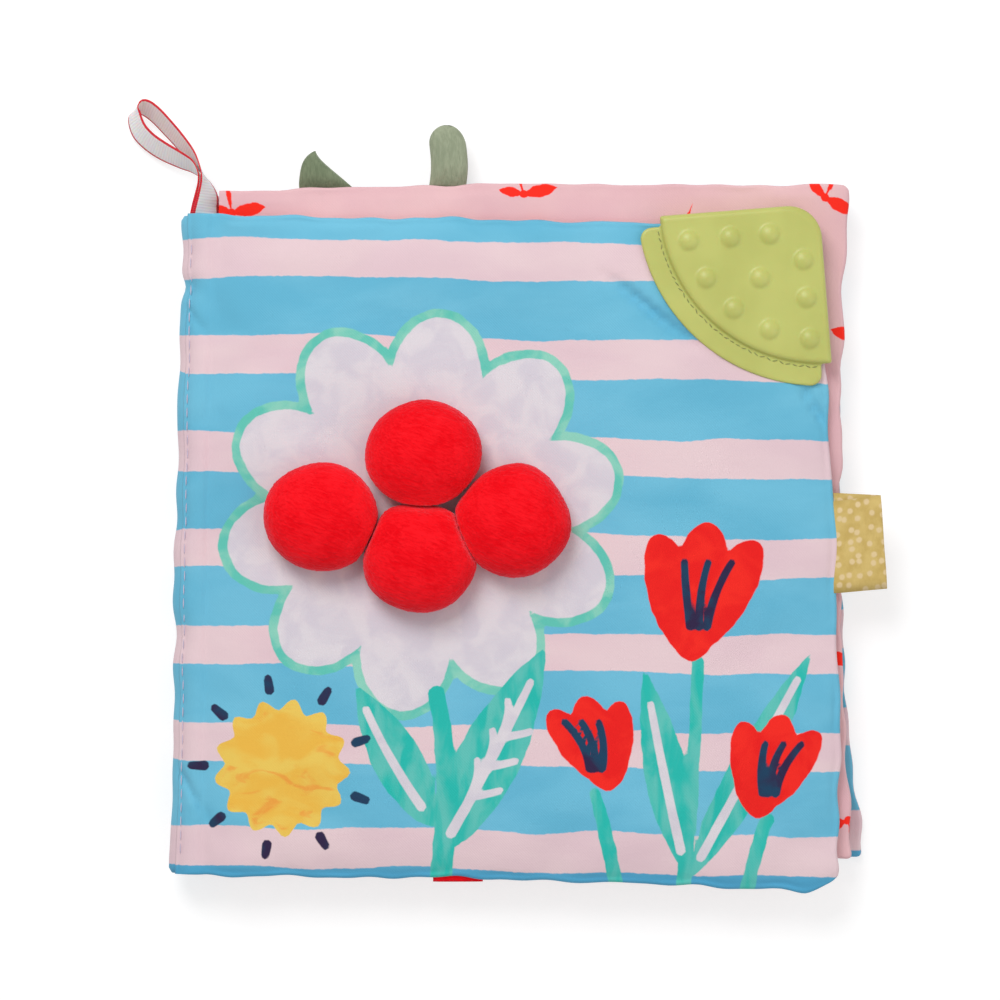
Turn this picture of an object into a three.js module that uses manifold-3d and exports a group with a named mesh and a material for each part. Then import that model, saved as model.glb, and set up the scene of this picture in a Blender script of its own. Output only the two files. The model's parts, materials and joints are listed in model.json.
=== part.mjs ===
// Soft cloth book for a baby: four padded fabric leaves hinged on one sewn spine.
// Millimetres, +Z up. The book lies flat on its back cover, spine at -X, top of the page at +Y.
// The origin is the middle of the face that the book rests on.

import * as THREE from "three";
import { mergeVertices } from "three/addons/utils/BufferGeometryUtils.js";
import Module from "manifold-3d";

const wasm = await Module();
wasm.setup();

// Clearances
const gap = 0.3; // between pieces that touch in the real book
const cutOverrun = 5; // how far a cutting shape reaches past what it cuts

// Cloth and filling
const fabric = 0.8; // one panel of woven cotton with its interlining
const film = 0.3; // the crinkle film with its folds
const leafThickness = 5; // a padded leaf away from its seams
const seamThickness = 2 * fabric + gap; // a leaf at its sewn edge
const padSlope = 15; // how far from the seam the padding reaches full height
const seamMargin = 2; // seam to the edge of the padding
const padShoulder = 6; // seam to the shoulder of the padding
const cornerRadius = 5; // turned corners of a leaf
const leafPitch = leafThickness + gap;

// Spine: a roll of seam allowances wrapped in the cover fabric
const spineRadius = 5.2;
const spineX = -93.8;
const spineBottomY = -98.7;
const spineTopY = 98.4;
const spineZ = (3 * leafPitch + leafThickness) / 2; // middle of the stack of four leaves
const spineSides = 20;
const hingeReach = spineRadius + gap; // the leaves' inner edges keep this distance from the axis
const outerRootHeight = 4.9; // where the covers leave the spine, above or below the axis
const innerRootHeight = 1.6; // where the two pages leave it
const rootSlope = 11; // how far from the spine a leaf reaches its own level

// Outline of the back cover and the pages. Reach is from a leaf's inner edge to its fore edge at
// the top; flare is added to it at the bottom. Rise and drop lift the top edge and lower the
// bottom edge towards the fore edge. A bow is positive where an edge swells outwards.
const pageReach = 189.6;
const pageFlare = 4.8;
const backCoverFlare = 8;
const rearPageSetback = 1; // the rear page's fore edge lies this far behind the front page's
const pageBottomY = -96.9;
const pageTopY = 106.2; // of the front page, the highest one
const topStagger = 0.6; // each leaf below it ends this much lower
const pageRise = 4.8;
const pageDrop = -5.6;
const pageForeBow = -2.6;
const pageTopBow = 1;
const pageBottomBow = -0.6;

// Outline of the front cover, which is a little smaller than the pages
const coverReach = 180.4;
const coverFlare = 10.9;
const coverBottomY = -98.9;
const coverTopY = 98.5;
const coverDrop = 2.7;
const coverForeBow = 3.5;
const coverBottomBow = -0.8;

const stripeBlue = "#63b5d2";
const pagePink = "#e8bcc2";
const pageOutline = {
  reach: pageReach,
  flare: pageFlare,
  bottomY: pageBottomY,
  topY: pageTopY,
  rise: pageRise,
  drop: pageDrop,
  foreBow: pageForeBow,
  topBow: pageTopBow,
  bottomBow: pageBottomBow,
};

// The four leaves from the floor up
const leaves = [
  {
    ...pageOutline,
    name: "back_cover",
    colour: stripeBlue,
    level: 0,
    side: -1,
    rootHeight: outerRootHeight,
    flare: backCoverFlare,
    topY: pageTopY - 2 * topStagger,
  },
  {
    ...pageOutline,
    name: "rear_page",
    colour: pagePink,
    level: 1,
    side: -1,
    rootHeight: innerRootHeight,
    reach: pageReach - rearPageSetback,
    topY: pageTopY - topStagger,
  },
  {
    ...pageOutline,
    name: "front_page",
    colour: pagePink,
    level: 2,
    side: 1,
    rootHeight: innerRootHeight,
  },
  {
    name: "front_cover",
    colour: stripeBlue,
    level: 3,
    side: 1,
    rootHeight: outerRootHeight,
    reach: coverReach,
    flare: coverFlare,
    bottomY: coverBottomY,
    topY: coverTopY,
    rise: 0,
    drop: coverDrop,
    foreBow: coverForeBow,
    topBow: 0,
    bottomBow: coverBottomBow,
  },
];
const middleShares = [0.36, 0.64]; // grid lines between the padding's two slopes
const frontCover = leaves[3];
const rearPage = leaves[1];
const coverTopZ = 3 * leafPitch + leafThickness;

// Silicone teether on the cover's top fore corner, a quarter disc about its outer corner
const teetherCornerX = 92.1;
const teetherCornerY = 104.9;
const teetherTilt = THREE.MathUtils.degToRad(5.5);
const teetherRadius = 48;
const teetherCornerRadius = 10;
const teetherHeight = 3; // pad above the cloth
const teetherBevel = 0.9;
const flangeWidth = 6.7; // sewn rim outside the pad's arc
const flangeThickness = 1.2;
const flangeInset = 3.2; // the rim stops short of the straight edges
const lipWidth = 5.5; // return lip under the cover's edge, from the teether's outer edge
const bumpRadius = 2.9;
const bumpHeight = 1.3;
const bumpSink = 0.4; // how deep a bump's base is let into the pad
const bumpInset = 8.1; // bumps to the top edge
const bumpSideInset = 6.1; // bumps to the fore edge
const bumpRings = [
  { radiusShare: 0.367, count: 2 },
  { radiusShare: 0.596, count: 3 },
  { radiusShare: 0.848, count: 5 },
];
const bumpSides = 10;
const arcSteps = 14;

// Plush balls sewn to the front cover, pressed against each other
const ballRadius = 17.4;
const ballHeight = 17;
const ballBaseAngle = THREE.MathUtils.degToRad(-35); // how far below its widest ring a ball is sewn
const plush = 1; // pile and backing
const ballSides = 18;
const ballRings = 5;
const clusterX = -25.6;
const clusterY = 10.4;
const ballShares = [
  { name: "plush_ball_top", across: 0.03, up: 1.05 },
  { name: "plush_ball_left", across: -1.71, up: -0.12 },
  { name: "plush_ball_bottom", across: -0.005, up: -0.83 },
  { name: "plush_ball_right", across: 1.6, up: -0.115 },
]; // of the ball's radius, from the middle of the cluster
const balls = ballShares.map((share) => ({
  name: share.name,
  x: clusterX + share.across * ballRadius,
  y: clusterY + share.up * ballRadius,
}));

// Plush tabs caught in the top seam of the rear page: a pointed leaf and an upright finger
const leafTabOffset = 37.8; // from the spine's axis to the tab's middle
const leafTabHalfWidth = 8.4;
const leafTabLength = 10.6;
const leafTabLean = -3.2; // how far the tip lies beside the middle
const fingerTabOffset = 74.2;
const fingerTabHalfWidth = 5.6;
const fingerTabLength = 18;
const plushTabs = [
  {
    name: "plush_leaf_tab",
    colour: "#75835f",
    x: spineX + leafTabOffset,
    halfWidth: leafTabHalfWidth,
    length: leafTabLength,
    lean: leafTabLean,
    taperShare: 1, // the whole length narrows to the tip
    taperPower: 1.25,
  },
  {
    name: "plush_finger_tab",
    colour: "#98a287",
    x: spineX + fingerTabOffset,
    halfWidth: fingerTabHalfWidth,
    length: fingerTabLength,
    lean: 0,
    taperShare: 0.34, // only the end is round
    taperPower: 2,
  },
];
const tabThickness = 5;
const tabRootThickness = 2;
const tabPlush = 0.6;
const tabSwellShare = 0.4; // where along a tab it reaches its full thickness
const tabSides = 12;
const tabRings = 7;
const tabRingCrowding = 1.4; // more rings towards the tip

// Folded ribbon tag on the front cover's fore edge
const tagWidth = 27.6;
const tagLength = 14.6;
const tagPly = 0.6;
const tagFoldGap = 0.5;
const tagMiddleY = 3;
const tagFoldSteps = 6;

// Hanging ribbon at the head of the spine: a sewn tail, then a loop that flops where the tail ends
const ribbonWidth = 10;
const ribbonThickness = 0.8;
const ribbonTailLength = 10.8; // it ends past the pages' top edges, so that they turn clear of the loop
const ribbonTailY = spineTopY + gap;
const ribbonPlyOffset = (ribbonThickness + gap) / 2;
const loopHalfWidth = 3.9;
const loopSteps = 26;
const loopTwistShare = 0.3; // where the two plies part, as a share of the middle line
const loopOpenShare = 0.45; // the rest of the way to its full width
const loopTipShare = 0.28; // the last stretch, round the tip
const loopLeft = 19.6; // from the tail's middle to the tip
const loopUp = 20.6;
const loopDown = 4.25; // the tip droops towards the table
const loopRouteShares = [
  { left: 0, up: 0, down: 0 },
  { left: 0, up: 0.16, down: 0 },
  { left: 0.09, up: 0.33, down: 0.08 },
  { left: 0.32, up: 0.52, down: 0.36 },
  { left: 0.64, up: 0.76, down: 0.74 },
  { left: 1, up: 1, down: 1 },
];

// Colours and finishes
const battingWhite = "#f3f0ea";
const silicone = "#bfc46c";
const plushRed = "#e8141c";
const tagMustard = "#c8ae62";
const ribbonWhite = "#e2dcd8";
const filmSilver = "#d9dde2";

const group = new THREE.Group();
group.name = "cloth_book";

// Surfaces for a piece of this colour; cloth is rough unless said otherwise.
function finish(colour, roughness = 0.9) {
  return new THREE.MeshStandardMaterial({ color: colour, roughness, metalness: 0 });
}

function addPiece(name, geometry, material) {
  const mesh = new THREE.Mesh(geometry, material);
  mesh.name = name;
  group.add(mesh);
  return mesh;
}

// A geometry from a list of points and a flat list of triangle corners.
function geometryOf(points, triangles) {
  const geometry = new THREE.BufferGeometry();
  const numbers = points.flatMap((point) => [point.x, point.y, point.z]);
  geometry.setAttribute("position", new THREE.Float32BufferAttribute(numbers, 3));
  geometry.setIndex(triangles);
  return geometry;
}

// Booleans on closed meshes
function solidOf(geometry) {
  const bare = geometry.clone();
  bare.deleteAttribute("normal");
  bare.deleteAttribute("uv");
  const merged = mergeVertices(bare, 1e-4);
  return new wasm.Manifold(
    new wasm.Mesh({
      numProp: 3,
      vertProperties: merged.attributes.position.array,
      triVerts: new Uint32Array(merged.index.array),
    }),
  );
}

function geometryOfSolid(solid) {
  const mesh = solid.getMesh();
  const geometry = new THREE.BufferGeometry();
  const numbers = new Float32Array(mesh.vertProperties);
  geometry.setAttribute("position", new THREE.BufferAttribute(numbers, 3));
  geometry.setIndex(Array.from(mesh.triVerts));
  return geometry;
}

// Where a leaf's inner edge starts: its nearest corner keeps hingeReach from the spine's axis.
function leafStartX(leaf) {
  const nearest = leaf.rootHeight - seamThickness / 2;
  return spineX + Math.sqrt(hingeReach ** 2 - nearest ** 2);
}

// Grid lines across a leaf, as distances from one edge of a panel of this length.
function gridLines(length) {
  const near = [0, seamMargin, padShoulder, padSlope];
  const middle = middleShares.map((share) => share * length);
  const far = near.map((distance) => length - distance).reverse();
  return [...near, ...middle, ...far];
}

// Turns a square corner round: distances from its two edges go onto rings about its centre.
function roundedCorner(first, second) {
  const across = cornerRadius - first;
  const along = cornerRadius - second;
  if (across <= 0 || along <= 0) return [first, second];
  const shrink = Math.max(across, along) / Math.hypot(across, along);
  return [cornerRadius - across * shrink, cornerRadius - along * shrink];
}

// The place in plan of a point of a leaf, from its distances to the inner and bottom edges.
function leafPlan(leaf, fromSpine, fromBottom) {
  const height = leaf.topY - leaf.bottomY;
  const foreSide = fromSpine > leaf.reach / 2;
  const topSide = fromBottom > height / 2;
  let across = fromSpine;
  let up = fromBottom;
  if (foreSide) {
    const corner = roundedCorner(leaf.reach - fromSpine, topSide ? height - fromBottom : fromBottom);
    across = leaf.reach - corner[0];
    up = topSide ? height - corner[1] : corner[1];
  }
  const u = across / leaf.reach;
  const v = up / height;
  const hump = (share) => 4 * share * (1 - share);
  const bowX = leaf.foreBow * u * hump(v);
  const bowY = leaf.topBow * v * hump(u) - leaf.bottomBow * (1 - v) * hump(u);
  const x = leafStartX(leaf) + across + leaf.flare * u * (1 - v) + bowX;
  const y = leaf.bottomY + up + leaf.rise * u * v - leaf.drop * u * (1 - v) + bowY;
  return new THREE.Vector2(x, y);
}

// Height of a leaf's middle surface at a distance from its inner edge.
function leafMiddleZ(leaf, fromSpine) {
  const own = leaf.level * leafPitch + leafThickness / 2 - spineZ;
  const root = leaf.side * leaf.rootHeight;
  const share = Math.min(Math.max(fromSpine, 0) / rootSlope, 1);
  return spineZ + root + (own - root) * Math.sin((share * Math.PI) / 2);
}

// Thickness of a leaf at a distance from its nearest edge: a quarter ellipse up to full height.
function leafThicknessAt(distance) {
  const share = 1 - Math.min(Math.max(distance, 0) / padSlope, 1);
  return seamThickness + (leafThickness - seamThickness) * Math.sqrt(1 - share ** 2);
}

// A closed sheet of a leaf between two heights that are told from its lower and upper faces.
// Inset counts grid lines left out at the edge; grow moves the outline outwards.
function leafSheet(leaf, lowerOf, upperOf, inset = 0, grow = 0) {
  const height = leaf.topY - leaf.bottomY;
  const spread = (distance, length) => (distance / length) * (length + 2 * grow) - grow;
  const columns = gridLines(leaf.reach).slice(inset || 0, inset ? -inset : undefined);
  const rows = gridLines(height).slice(inset || 0, inset ? -inset : undefined);
  const lower = [];
  const upper = [];
  for (const row of rows) {
    for (const column of columns) {
      const nearest = Math.min(column, leaf.reach - column, row, height - row);
      const half = leafThicknessAt(nearest) / 2;
      const middle = leafMiddleZ(leaf, column);
      const place = leafPlan(leaf, spread(column, leaf.reach), spread(row, height));
      lower.push(new THREE.Vector3(place.x, place.y, lowerOf(middle - half, middle + half)));
      upper.push(new THREE.Vector3(place.x, place.y, upperOf(middle - half, middle + half)));
    }
  }
  return geometryOf([...lower, ...upper], gridTriangles(columns.length, rows.length));
}

// Triangles of a closed sheet of two like grids, the lower one first in the list of points.
function gridTriangles(columns, rows) {
  const count = columns * rows;
  const at = (column, row) => row * columns + column;
  const triangles = [];
  const quad = (a, b, c, d) => triangles.push(a, b, c, a, c, d);
  for (let row = 0; row < rows - 1; row++) {
    for (let column = 0; column < columns - 1; column++) {
      const a = at(column, row);
      const b = at(column + 1, row);
      const c = at(column + 1, row + 1);
      const d = at(column, row + 1);
      quad(a + count, b + count, c + count, d + count);
      triangles.push(a, c, b, a, d, c);
    }
  }
  const wall = (a, b) => quad(a, b, b + count, a + count);
  for (let column = 0; column < columns - 1; column++) {
    wall(at(column, 0), at(column + 1, 0));
    wall(at(column + 1, rows - 1), at(column, rows - 1));
  }
  for (let row = 0; row < rows - 1; row++) {
    wall(at(columns - 1, row), at(columns - 1, row + 1));
    wall(at(0, row + 1), at(0, row));
  }
  return triangles;
}

// One leaf: two sewn panels with crinkle film and batting between them.
function addLeaf(leaf) {
  const under = leafSheet(
    leaf,
    (low) => low,
    (low) => low + fabric,
  );
  const over = leafSheet(
    leaf,
    (low, high) => high - fabric,
    (low, high) => high,
  );
  const filmBase = fabric + gap;
  const inner = leafSheet(
    leaf,
    (low) => low + filmBase,
    (low) => low + filmBase + film,
    1,
  );
  const pad = leafSheet(
    leaf,
    (low) => low + filmBase + film + gap,
    (low, high) => high - fabric - gap,
    1,
  );
  const faceDown = leaf.side < 0;
  const lowerColour = faceDown ? leaf.colour : pagePink;
  const upperColour = faceDown ? pagePink : leaf.colour;
  addPiece(`${leaf.name}_lower_panel`, under, finish(lowerColour));
  addPiece(`${leaf.name}_crinkle_film`, inner, finish(filmSilver, 0.3));
  addPiece(`${leaf.name}_batting`, pad, finish(battingWhite, 1));
  addPiece(`${leaf.name}_upper_panel`, over, finish(upperColour));
}

// Spine: the rolled seam allowances and the fabric sleeve round them
function addSpine() {
  const length = spineTopY - spineBottomY;
  const coreRadius = spineRadius - fabric - gap;
  const sleeve = new THREE.LatheGeometry(
    [
      new THREE.Vector2(spineRadius - fabric, 0),
      new THREE.Vector2(spineRadius, 0),
      new THREE.Vector2(spineRadius, length),
      new THREE.Vector2(spineRadius - fabric, length),
      new THREE.Vector2(spineRadius - fabric, 0),
    ],
    spineSides,
  );
  const core = new THREE.LatheGeometry(
    [
      new THREE.Vector2(0, 0),
      new THREE.Vector2(coreRadius, 0),
      new THREE.Vector2(coreRadius, length),
      new THREE.Vector2(0, length),
    ],
    spineSides,
  );
  const wrap = addPiece("spine_wrap", sleeve, finish(frontCover.colour));
  const roll = addPiece("spine_seam_roll", core, finish(pagePink));
  wrap.position.set(spineX, spineBottomY, spineZ);
  roll.position.set(spineX, spineBottomY, spineZ);
}

// Rings of points joined into a skin that ends in a pole; the rings turn anticlockwise about the
// way from the first ring to the pole.
function skinTriangles(ringCount, sides, first, outward) {
  const triangles = [];
  const add = (a, b, c) => (outward ? triangles.push(a, b, c) : triangles.push(a, c, b));
  for (let ring = 0; ring < ringCount - 1; ring++) {
    for (let side = 0; side < sides; side++) {
      const next = (side + 1) % sides;
      const a = first + ring * sides + side;
      const b = first + ring * sides + next;
      add(a, b, b + sides);
      add(a, b + sides, a + sides);
    }
  }
  const last = first + (ringCount - 1) * sides;
  const pole = last + sides;
  for (let side = 0; side < sides; side++) add(last + side, last + ((side + 1) % sides), pole);
  return triangles;
}

// A stuffed skin: an outer and an inner dome joined round their open foot.
function domeShell(outer, inner, sides) {
  const outerPoints = [...outer.rings.flat(), outer.pole];
  const innerPoints = [...inner.rings.flat(), inner.pole];
  const start = outerPoints.length;
  const triangles = [
    ...skinTriangles(outer.rings.length, sides, 0, true),
    ...skinTriangles(inner.rings.length, sides, start, false),
  ];
  for (let side = 0; side < sides; side++) {
    const next = (side + 1) % sides;
    triangles.push(side, start + side, start + next, side, start + next, next);
  }
  return geometryOf([...outerPoints, ...innerPoints], triangles);
}

// A closed dome with a flat foot.
function domeSolid(dome, sides) {
  const points = [...dome.rings.flat(), dome.pole];
  const foot = points.length;
  const middle = new THREE.Vector3();
  for (const point of dome.rings[0]) middle.addScaledVector(point, 1 / sides);
  const triangles = skinTriangles(dome.rings.length, sides, 0, true);
  for (let side = 0; side < sides; side++) triangles.push(foot, (side + 1) % sides, side);
  return geometryOf([...points, middle], triangles);
}

// How far a ball reaches in one direction before it presses on a neighbour.
function ballReach(ball, angle, inset) {
  let reach = ballRadius - inset;
  for (const other of balls) {
    if (other === ball) continue;
    const apart = Math.hypot(other.x - ball.x, other.y - ball.y);
    const facing = Math.cos(angle - Math.atan2(other.y - ball.y, other.x - ball.x));
    if (facing > 0) reach = Math.min(reach, ((apart - gap) / 2 - inset) / facing);
  }
  return reach;
}

// The rings of a ball inside its outer skin by inset: an ellipsoid cut off where it is sewn down.
function ballDome(ball, inset) {
  const outerRise = ballHeight / (1 - Math.sin(ballBaseAngle));
  const widestZ = -outerRise * Math.sin(ballBaseAngle);
  const rise = outerRise - inset;
  const footAngle = Math.asin(-widestZ / rise);
  const footZ = coverTopZ + gap;
  const rings = [];
  for (let ring = 0; ring < ballRings; ring++) {
    const up = footAngle + ((Math.PI / 2 - footAngle) * ring) / ballRings;
    const points = [];
    for (let side = 0; side < ballSides; side++) {
      const angle = (side / ballSides) * 2 * Math.PI;
      const reach = ballReach(ball, angle, inset) * Math.cos(up);
      const x = ball.x + reach * Math.cos(angle);
      const y = ball.y + reach * Math.sin(angle);
      points.push(new THREE.Vector3(x, y, footZ + widestZ + rise * Math.sin(up)));
    }
    rings.push(points);
  }
  return { rings, pole: new THREE.Vector3(ball.x, ball.y, footZ + widestZ + rise) };
}

function addBall(ball) {
  const skin = domeShell(ballDome(ball, 0), ballDome(ball, plush), ballSides);
  const stuffing = domeSolid(ballDome(ball, plush + gap), ballSides);
  addPiece(ball.name, skin, finish(plushRed, 1));
  addPiece(`${ball.name}_stuffing`, stuffing, finish(battingWhite, 1));
}

// The y of a leaf's top edge at this x, by closing in on it along the edge.
function leafTopY(leaf, x) {
  const height = leaf.topY - leaf.bottomY;
  let low = 0;
  let high = leaf.reach;
  for (let step = 0; step < 40; step++) {
    const middle = (low + high) / 2;
    if (leafPlan(leaf, middle, height).x < x) low = middle;
    else high = middle;
  }
  return leafPlan(leaf, low, height).y;
}

// Where a plush tab leaves the page: clear of the sloping seam over its whole width.
function tabRootY(tab) {
  const left = leafTopY(rearPage, tab.x - tab.halfWidth);
  const right = leafTopY(rearPage, tab.x + tab.halfWidth);
  return Math.max(left, right, leafTopY(rearPage, tab.x)) + gap;
}

// Rings of a plush tab, from its root in the seam to its tip, inside its skin by inset. The skin
// shrinks towards its middle line, so that an inner one keeps clear of it up to the tip.
function tabDome(tab, inset) {
  const middleZ = rearPage.level * leafPitch + leafThickness / 2;
  const length = tab.length - inset;
  const narrower = 1 - inset / tab.halfWidth;
  const thinner = 1 - (2 * inset) / tabThickness;
  const rings = [];
  for (let ring = 0; ring < tabRings; ring++) {
    const share = 1 - (1 - ring / tabRings) ** tabRingCrowding;
    const taper = Math.max(0, (share - (1 - tab.taperShare)) / tab.taperShare);
    const wide = tab.halfWidth * (1 - taper ** tab.taperPower) ** (1 / tab.taperPower);
    const swell = Math.sin(Math.min(share / tabSwellShare, 1) * (Math.PI / 2));
    const thick = tabRootThickness + (tabThickness - tabRootThickness) * swell;
    const deep = (thick / 2) * Math.sqrt(1 - share ** 4);
    const points = [];
    for (let side = 0; side < tabSides; side++) {
      const angle = (side / tabSides) * 2 * Math.PI;
      const middleX = tab.x + tab.lean * (1 - (1 - share) ** 2);
      const x = middleX - wide * narrower * Math.cos(angle);
      const z = middleZ + deep * thinner * Math.sin(angle);
      points.push(new THREE.Vector3(x, tabRootY(tab) + length * share, z));
    }
    rings.push(points);
  }
  const tipY = tabRootY(tab) + length;
  return { rings, pole: new THREE.Vector3(tab.x + tab.lean, tipY, middleZ) };
}

function addPlushTab(tab) {
  const skin = domeShell(tabDome(tab, 0), tabDome(tab, tabPlush), tabSides);
  const stuffing = domeSolid(tabDome(tab, tabPlush + gap), tabSides);
  addPiece(tab.name, skin, finish(tab.colour, 1));
  addPiece(`${tab.name}_stuffing`, stuffing, finish(battingWhite, 1));
}

// A quarter disc about the origin, towards -X and -Y, with a round outer corner.
function quarterShape(radius, corner, inset) {
  const first = Math.asin(inset / radius);
  const straightEnd = radius * Math.cos(first);
  const shape = new THREE.Shape();
  shape.moveTo(-straightEnd, -inset);
  shape.lineTo(-inset - corner, -inset);
  shape.absarc(-inset - corner, -inset - corner, corner, Math.PI / 2, 0, true);
  shape.lineTo(-inset, -straightEnd);
  shape.absarc(0, 0, radius, 1.5 * Math.PI - first, Math.PI + first, true);
  return shape;
}

// A plate of this outline between two heights; a bevel keeps it within its outline.
function plate(shape, lowZ, highZ, bevel = 0) {
  const geometry = new THREE.ExtrudeGeometry(shape, {
    depth: highZ - lowZ - 2 * bevel,
    bevelEnabled: bevel > 0,
    bevelThickness: bevel,
    bevelSize: bevel,
    bevelOffset: -bevel,
    bevelSegments: 2,
    curveSegments: arcSteps,
  });
  geometry.translate(0, 0, lowZ + bevel);
  return geometry;
}

// The middles of the teether's bumps, in its own quarter.
function bumpPlaces() {
  const places = [];
  for (const ring of bumpRings) {
    const radius = ring.radiusShare * teetherRadius;
    const first = Math.asin(bumpInset / radius);
    const last = Math.acos(bumpSideInset / radius);
    for (let index = 0; index < ring.count; index++) {
      const angle = first + ((last - first) * index) / (ring.count - 1);
      places.push([-radius * Math.cos(angle), -radius * Math.sin(angle)]);
    }
  }
  return places;
}

// Teether: a soft pad with bumps that pockets the cover's corner, its rim sewn to the cloth
function addTeether() {
  const lowZ = coverTopZ - leafThickness;
  const padZ = coverTopZ + gap + teetherHeight;
  const inPlace = (geometry) =>
    geometry.rotateZ(teetherTilt).translate(teetherCornerX, teetherCornerY, 0);
  const padShape = quarterShape(teetherRadius, teetherCornerRadius, 0);
  const rimShape = quarterShape(teetherRadius + flangeWidth, teetherCornerRadius, flangeInset);
  const hollowShape = quarterShape(teetherRadius + cutOverrun, teetherCornerRadius, lipWidth);
  const rimLow = coverTopZ + gap;
  const pad = inPlace(plate(padShape, lowZ, padZ, teetherBevel));
  const rim = inPlace(plate(rimShape, rimLow, rimLow + flangeThickness));
  const hollow = inPlace(plate(hollowShape, lowZ - cutOverrun, rimLow));
  const pocket = leafSheet(
    frontCover,
    (low) => low - gap,
    (low, high) => high + gap,
    0,
    gap,
  );
  let body = solidOf(pad).add(solidOf(rim)).subtract(solidOf(hollow)).subtract(solidOf(pocket));
  for (const [x, y] of bumpPlaces()) {
    const bump = new THREE.SphereGeometry(1, bumpSides, bumpSides / 2);
    bump.rotateX(Math.PI / 2);
    bump.scale(bumpRadius, bumpRadius, bumpHeight + bumpSink);
    bump.translate(x, y, padZ - bumpSink);
    body = body.add(solidOf(inPlace(bump)));
  }
  addPiece("corner_teether", geometryOfSolid(body), finish(silicone, 0.45));
}

// Fore edge of the front cover at a height up the page
function coverEdge(y) {
  return leafPlan(frontCover, frontCover.reach, y - frontCover.bottomY);
}

// Ribbon tag: a folded strip whose two plies are sewn into the cover's edge
function addTag() {
  const half = tagFoldGap / 2;
  const bend = tagLength - half - tagPly;
  const shape = new THREE.Shape();
  shape.moveTo(0, -half - tagPly);
  shape.lineTo(bend, -half - tagPly);
  shape.absarc(bend, 0, half + tagPly, -Math.PI / 2, Math.PI / 2, false);
  shape.lineTo(0, half + tagPly);
  shape.lineTo(0, half);
  shape.lineTo(bend, half);
  shape.absarc(bend, 0, half, Math.PI / 2, -Math.PI / 2, true);
  shape.lineTo(0, -half);
  const geometry = new THREE.ExtrudeGeometry(shape, {
    depth: tagWidth,
    bevelEnabled: false,
    curveSegments: tagFoldSteps,
  });
  geometry.rotateX(Math.PI / 2);
  geometry.translate(0, tagWidth / 2, 0);
  const upper = coverEdge(tagMiddleY + tagWidth / 2);
  const lower = coverEdge(tagMiddleY - tagWidth / 2);
  const turn = Math.atan2(lower.x - upper.x, upper.y - lower.y);
  const tag = addPiece("ribbon_tag", geometry, finish(tagMustard));
  const middleX = Math.max((upper.x + lower.x) / 2, coverEdge(tagMiddleY).x);
  tag.position.set(middleX + gap, tagMiddleY, coverTopZ - leafThickness / 2);
  tag.rotation.z = turn;
}

// One ply of the hanging ribbon's tail, flat across the spine's end
function ribbonPly(side) {
  const ply = new THREE.BoxGeometry(ribbonWidth, ribbonTailLength, ribbonThickness);
  const z = spineZ + side * ribbonPlyOffset;
  return ply.translate(spineX, ribbonTailY + ribbonTailLength / 2, z);
}

// Half the distance between the loop's two plies, along its middle line
function loopOpening(share) {
  if (share <= loopTwistShare) return ribbonPlyOffset;
  const rest = (share - loopTwistShare) / (1 - loopTwistShare);
  const belly = Math.sin(Math.min(rest / loopOpenShare, 1) * (Math.PI / 2)) ** 2;
  const past = Math.max(0, (rest - (1 - loopTipShare)) / loopTipShare);
  const tip = Math.sqrt(Math.max(0, 1 - past ** 2));
  return (ribbonPlyOffset + (loopHalfWidth - ribbonPlyOffset) * belly) * tip;
}

// The loop: it leaves the tail flat, turns on edge, opens round its hole and comes back.
function loopGeometry() {
  const startY = ribbonTailY + ribbonTailLength + gap;
  const places = loopRouteShares.map((share) => {
    const x = spineX - share.left * loopLeft;
    return new THREE.Vector3(x, startY + share.up * loopUp, spineZ - share.down * loopDown);
  });
  const route = new THREE.CatmullRomCurve3(places, false, "centripetal");
  const up = new THREE.Vector3(0, 0, 1);
  const middles = [];
  const widths = [];
  for (let step = 0; step <= 2 * loopSteps; step++) {
    const there = step <= loopSteps;
    const along = there ? step / loopSteps : 2 - step / loopSteps;
    const share = Math.sin((along * Math.PI) / 2);
    const tangent = route.getTangentAt(share);
    const level = new THREE.Vector3().crossVectors(tangent, up).normalize();
    const turn = Math.min(share / loopTwistShare, 1) * (Math.PI / 2);
    const width = level.clone().multiplyScalar(Math.cos(turn));
    width.addScaledVector(new THREE.Vector3().crossVectors(level, tangent).normalize(), Math.sin(turn));
    const across = new THREE.Vector3().crossVectors(width, tangent).normalize();
    const offset = loopOpening(share) * (there ? -1 : 1);
    middles.push(route.getPointAt(share).addScaledVector(across, offset));
    widths.push(width);
  }
  const points = [];
  const count = middles.length;
  middles.forEach((middle, index) => {
    const before = middles[Math.max(index - 1, 0)];
    const after = middles[Math.min(index + 1, count - 1)];
    const ahead = new THREE.Vector3().subVectors(after, before).normalize();
    const out = new THREE.Vector3().crossVectors(ahead, widths[index]).normalize();
    for (const [w, t] of [[-1, -1], [1, -1], [1, 1], [-1, 1]]) {
      const point = middle.clone();
      point.addScaledVector(widths[index], (w * ribbonWidth) / 2);
      point.addScaledVector(out, (t * ribbonThickness) / 2);
      points.push(point);
    }
  });
  // Both faces of both plies are cut along the same diagonals, so that they stay apart where they twist.
  const triangles = [];
  for (let index = 0; index < count - 1; index++) {
    for (let side = 0; side < 4; side++) {
      const a = index * 4 + side;
      const b = index * 4 + ((side + 1) % 4);
      const likeDiagonal = (index < loopSteps) === (side < 2);
      if (likeDiagonal) triangles.push(a, b, b + 4, a, b + 4, a + 4);
      else triangles.push(a, b, a + 4, b, b + 4, a + 4);
    }
  }
  const end = (count - 1) * 4;
  triangles.push(0, 2, 1, 0, 3, 2, end, end + 1, end + 2, end, end + 2, end + 3);
  return geometryOf(points, triangles);
}

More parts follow.
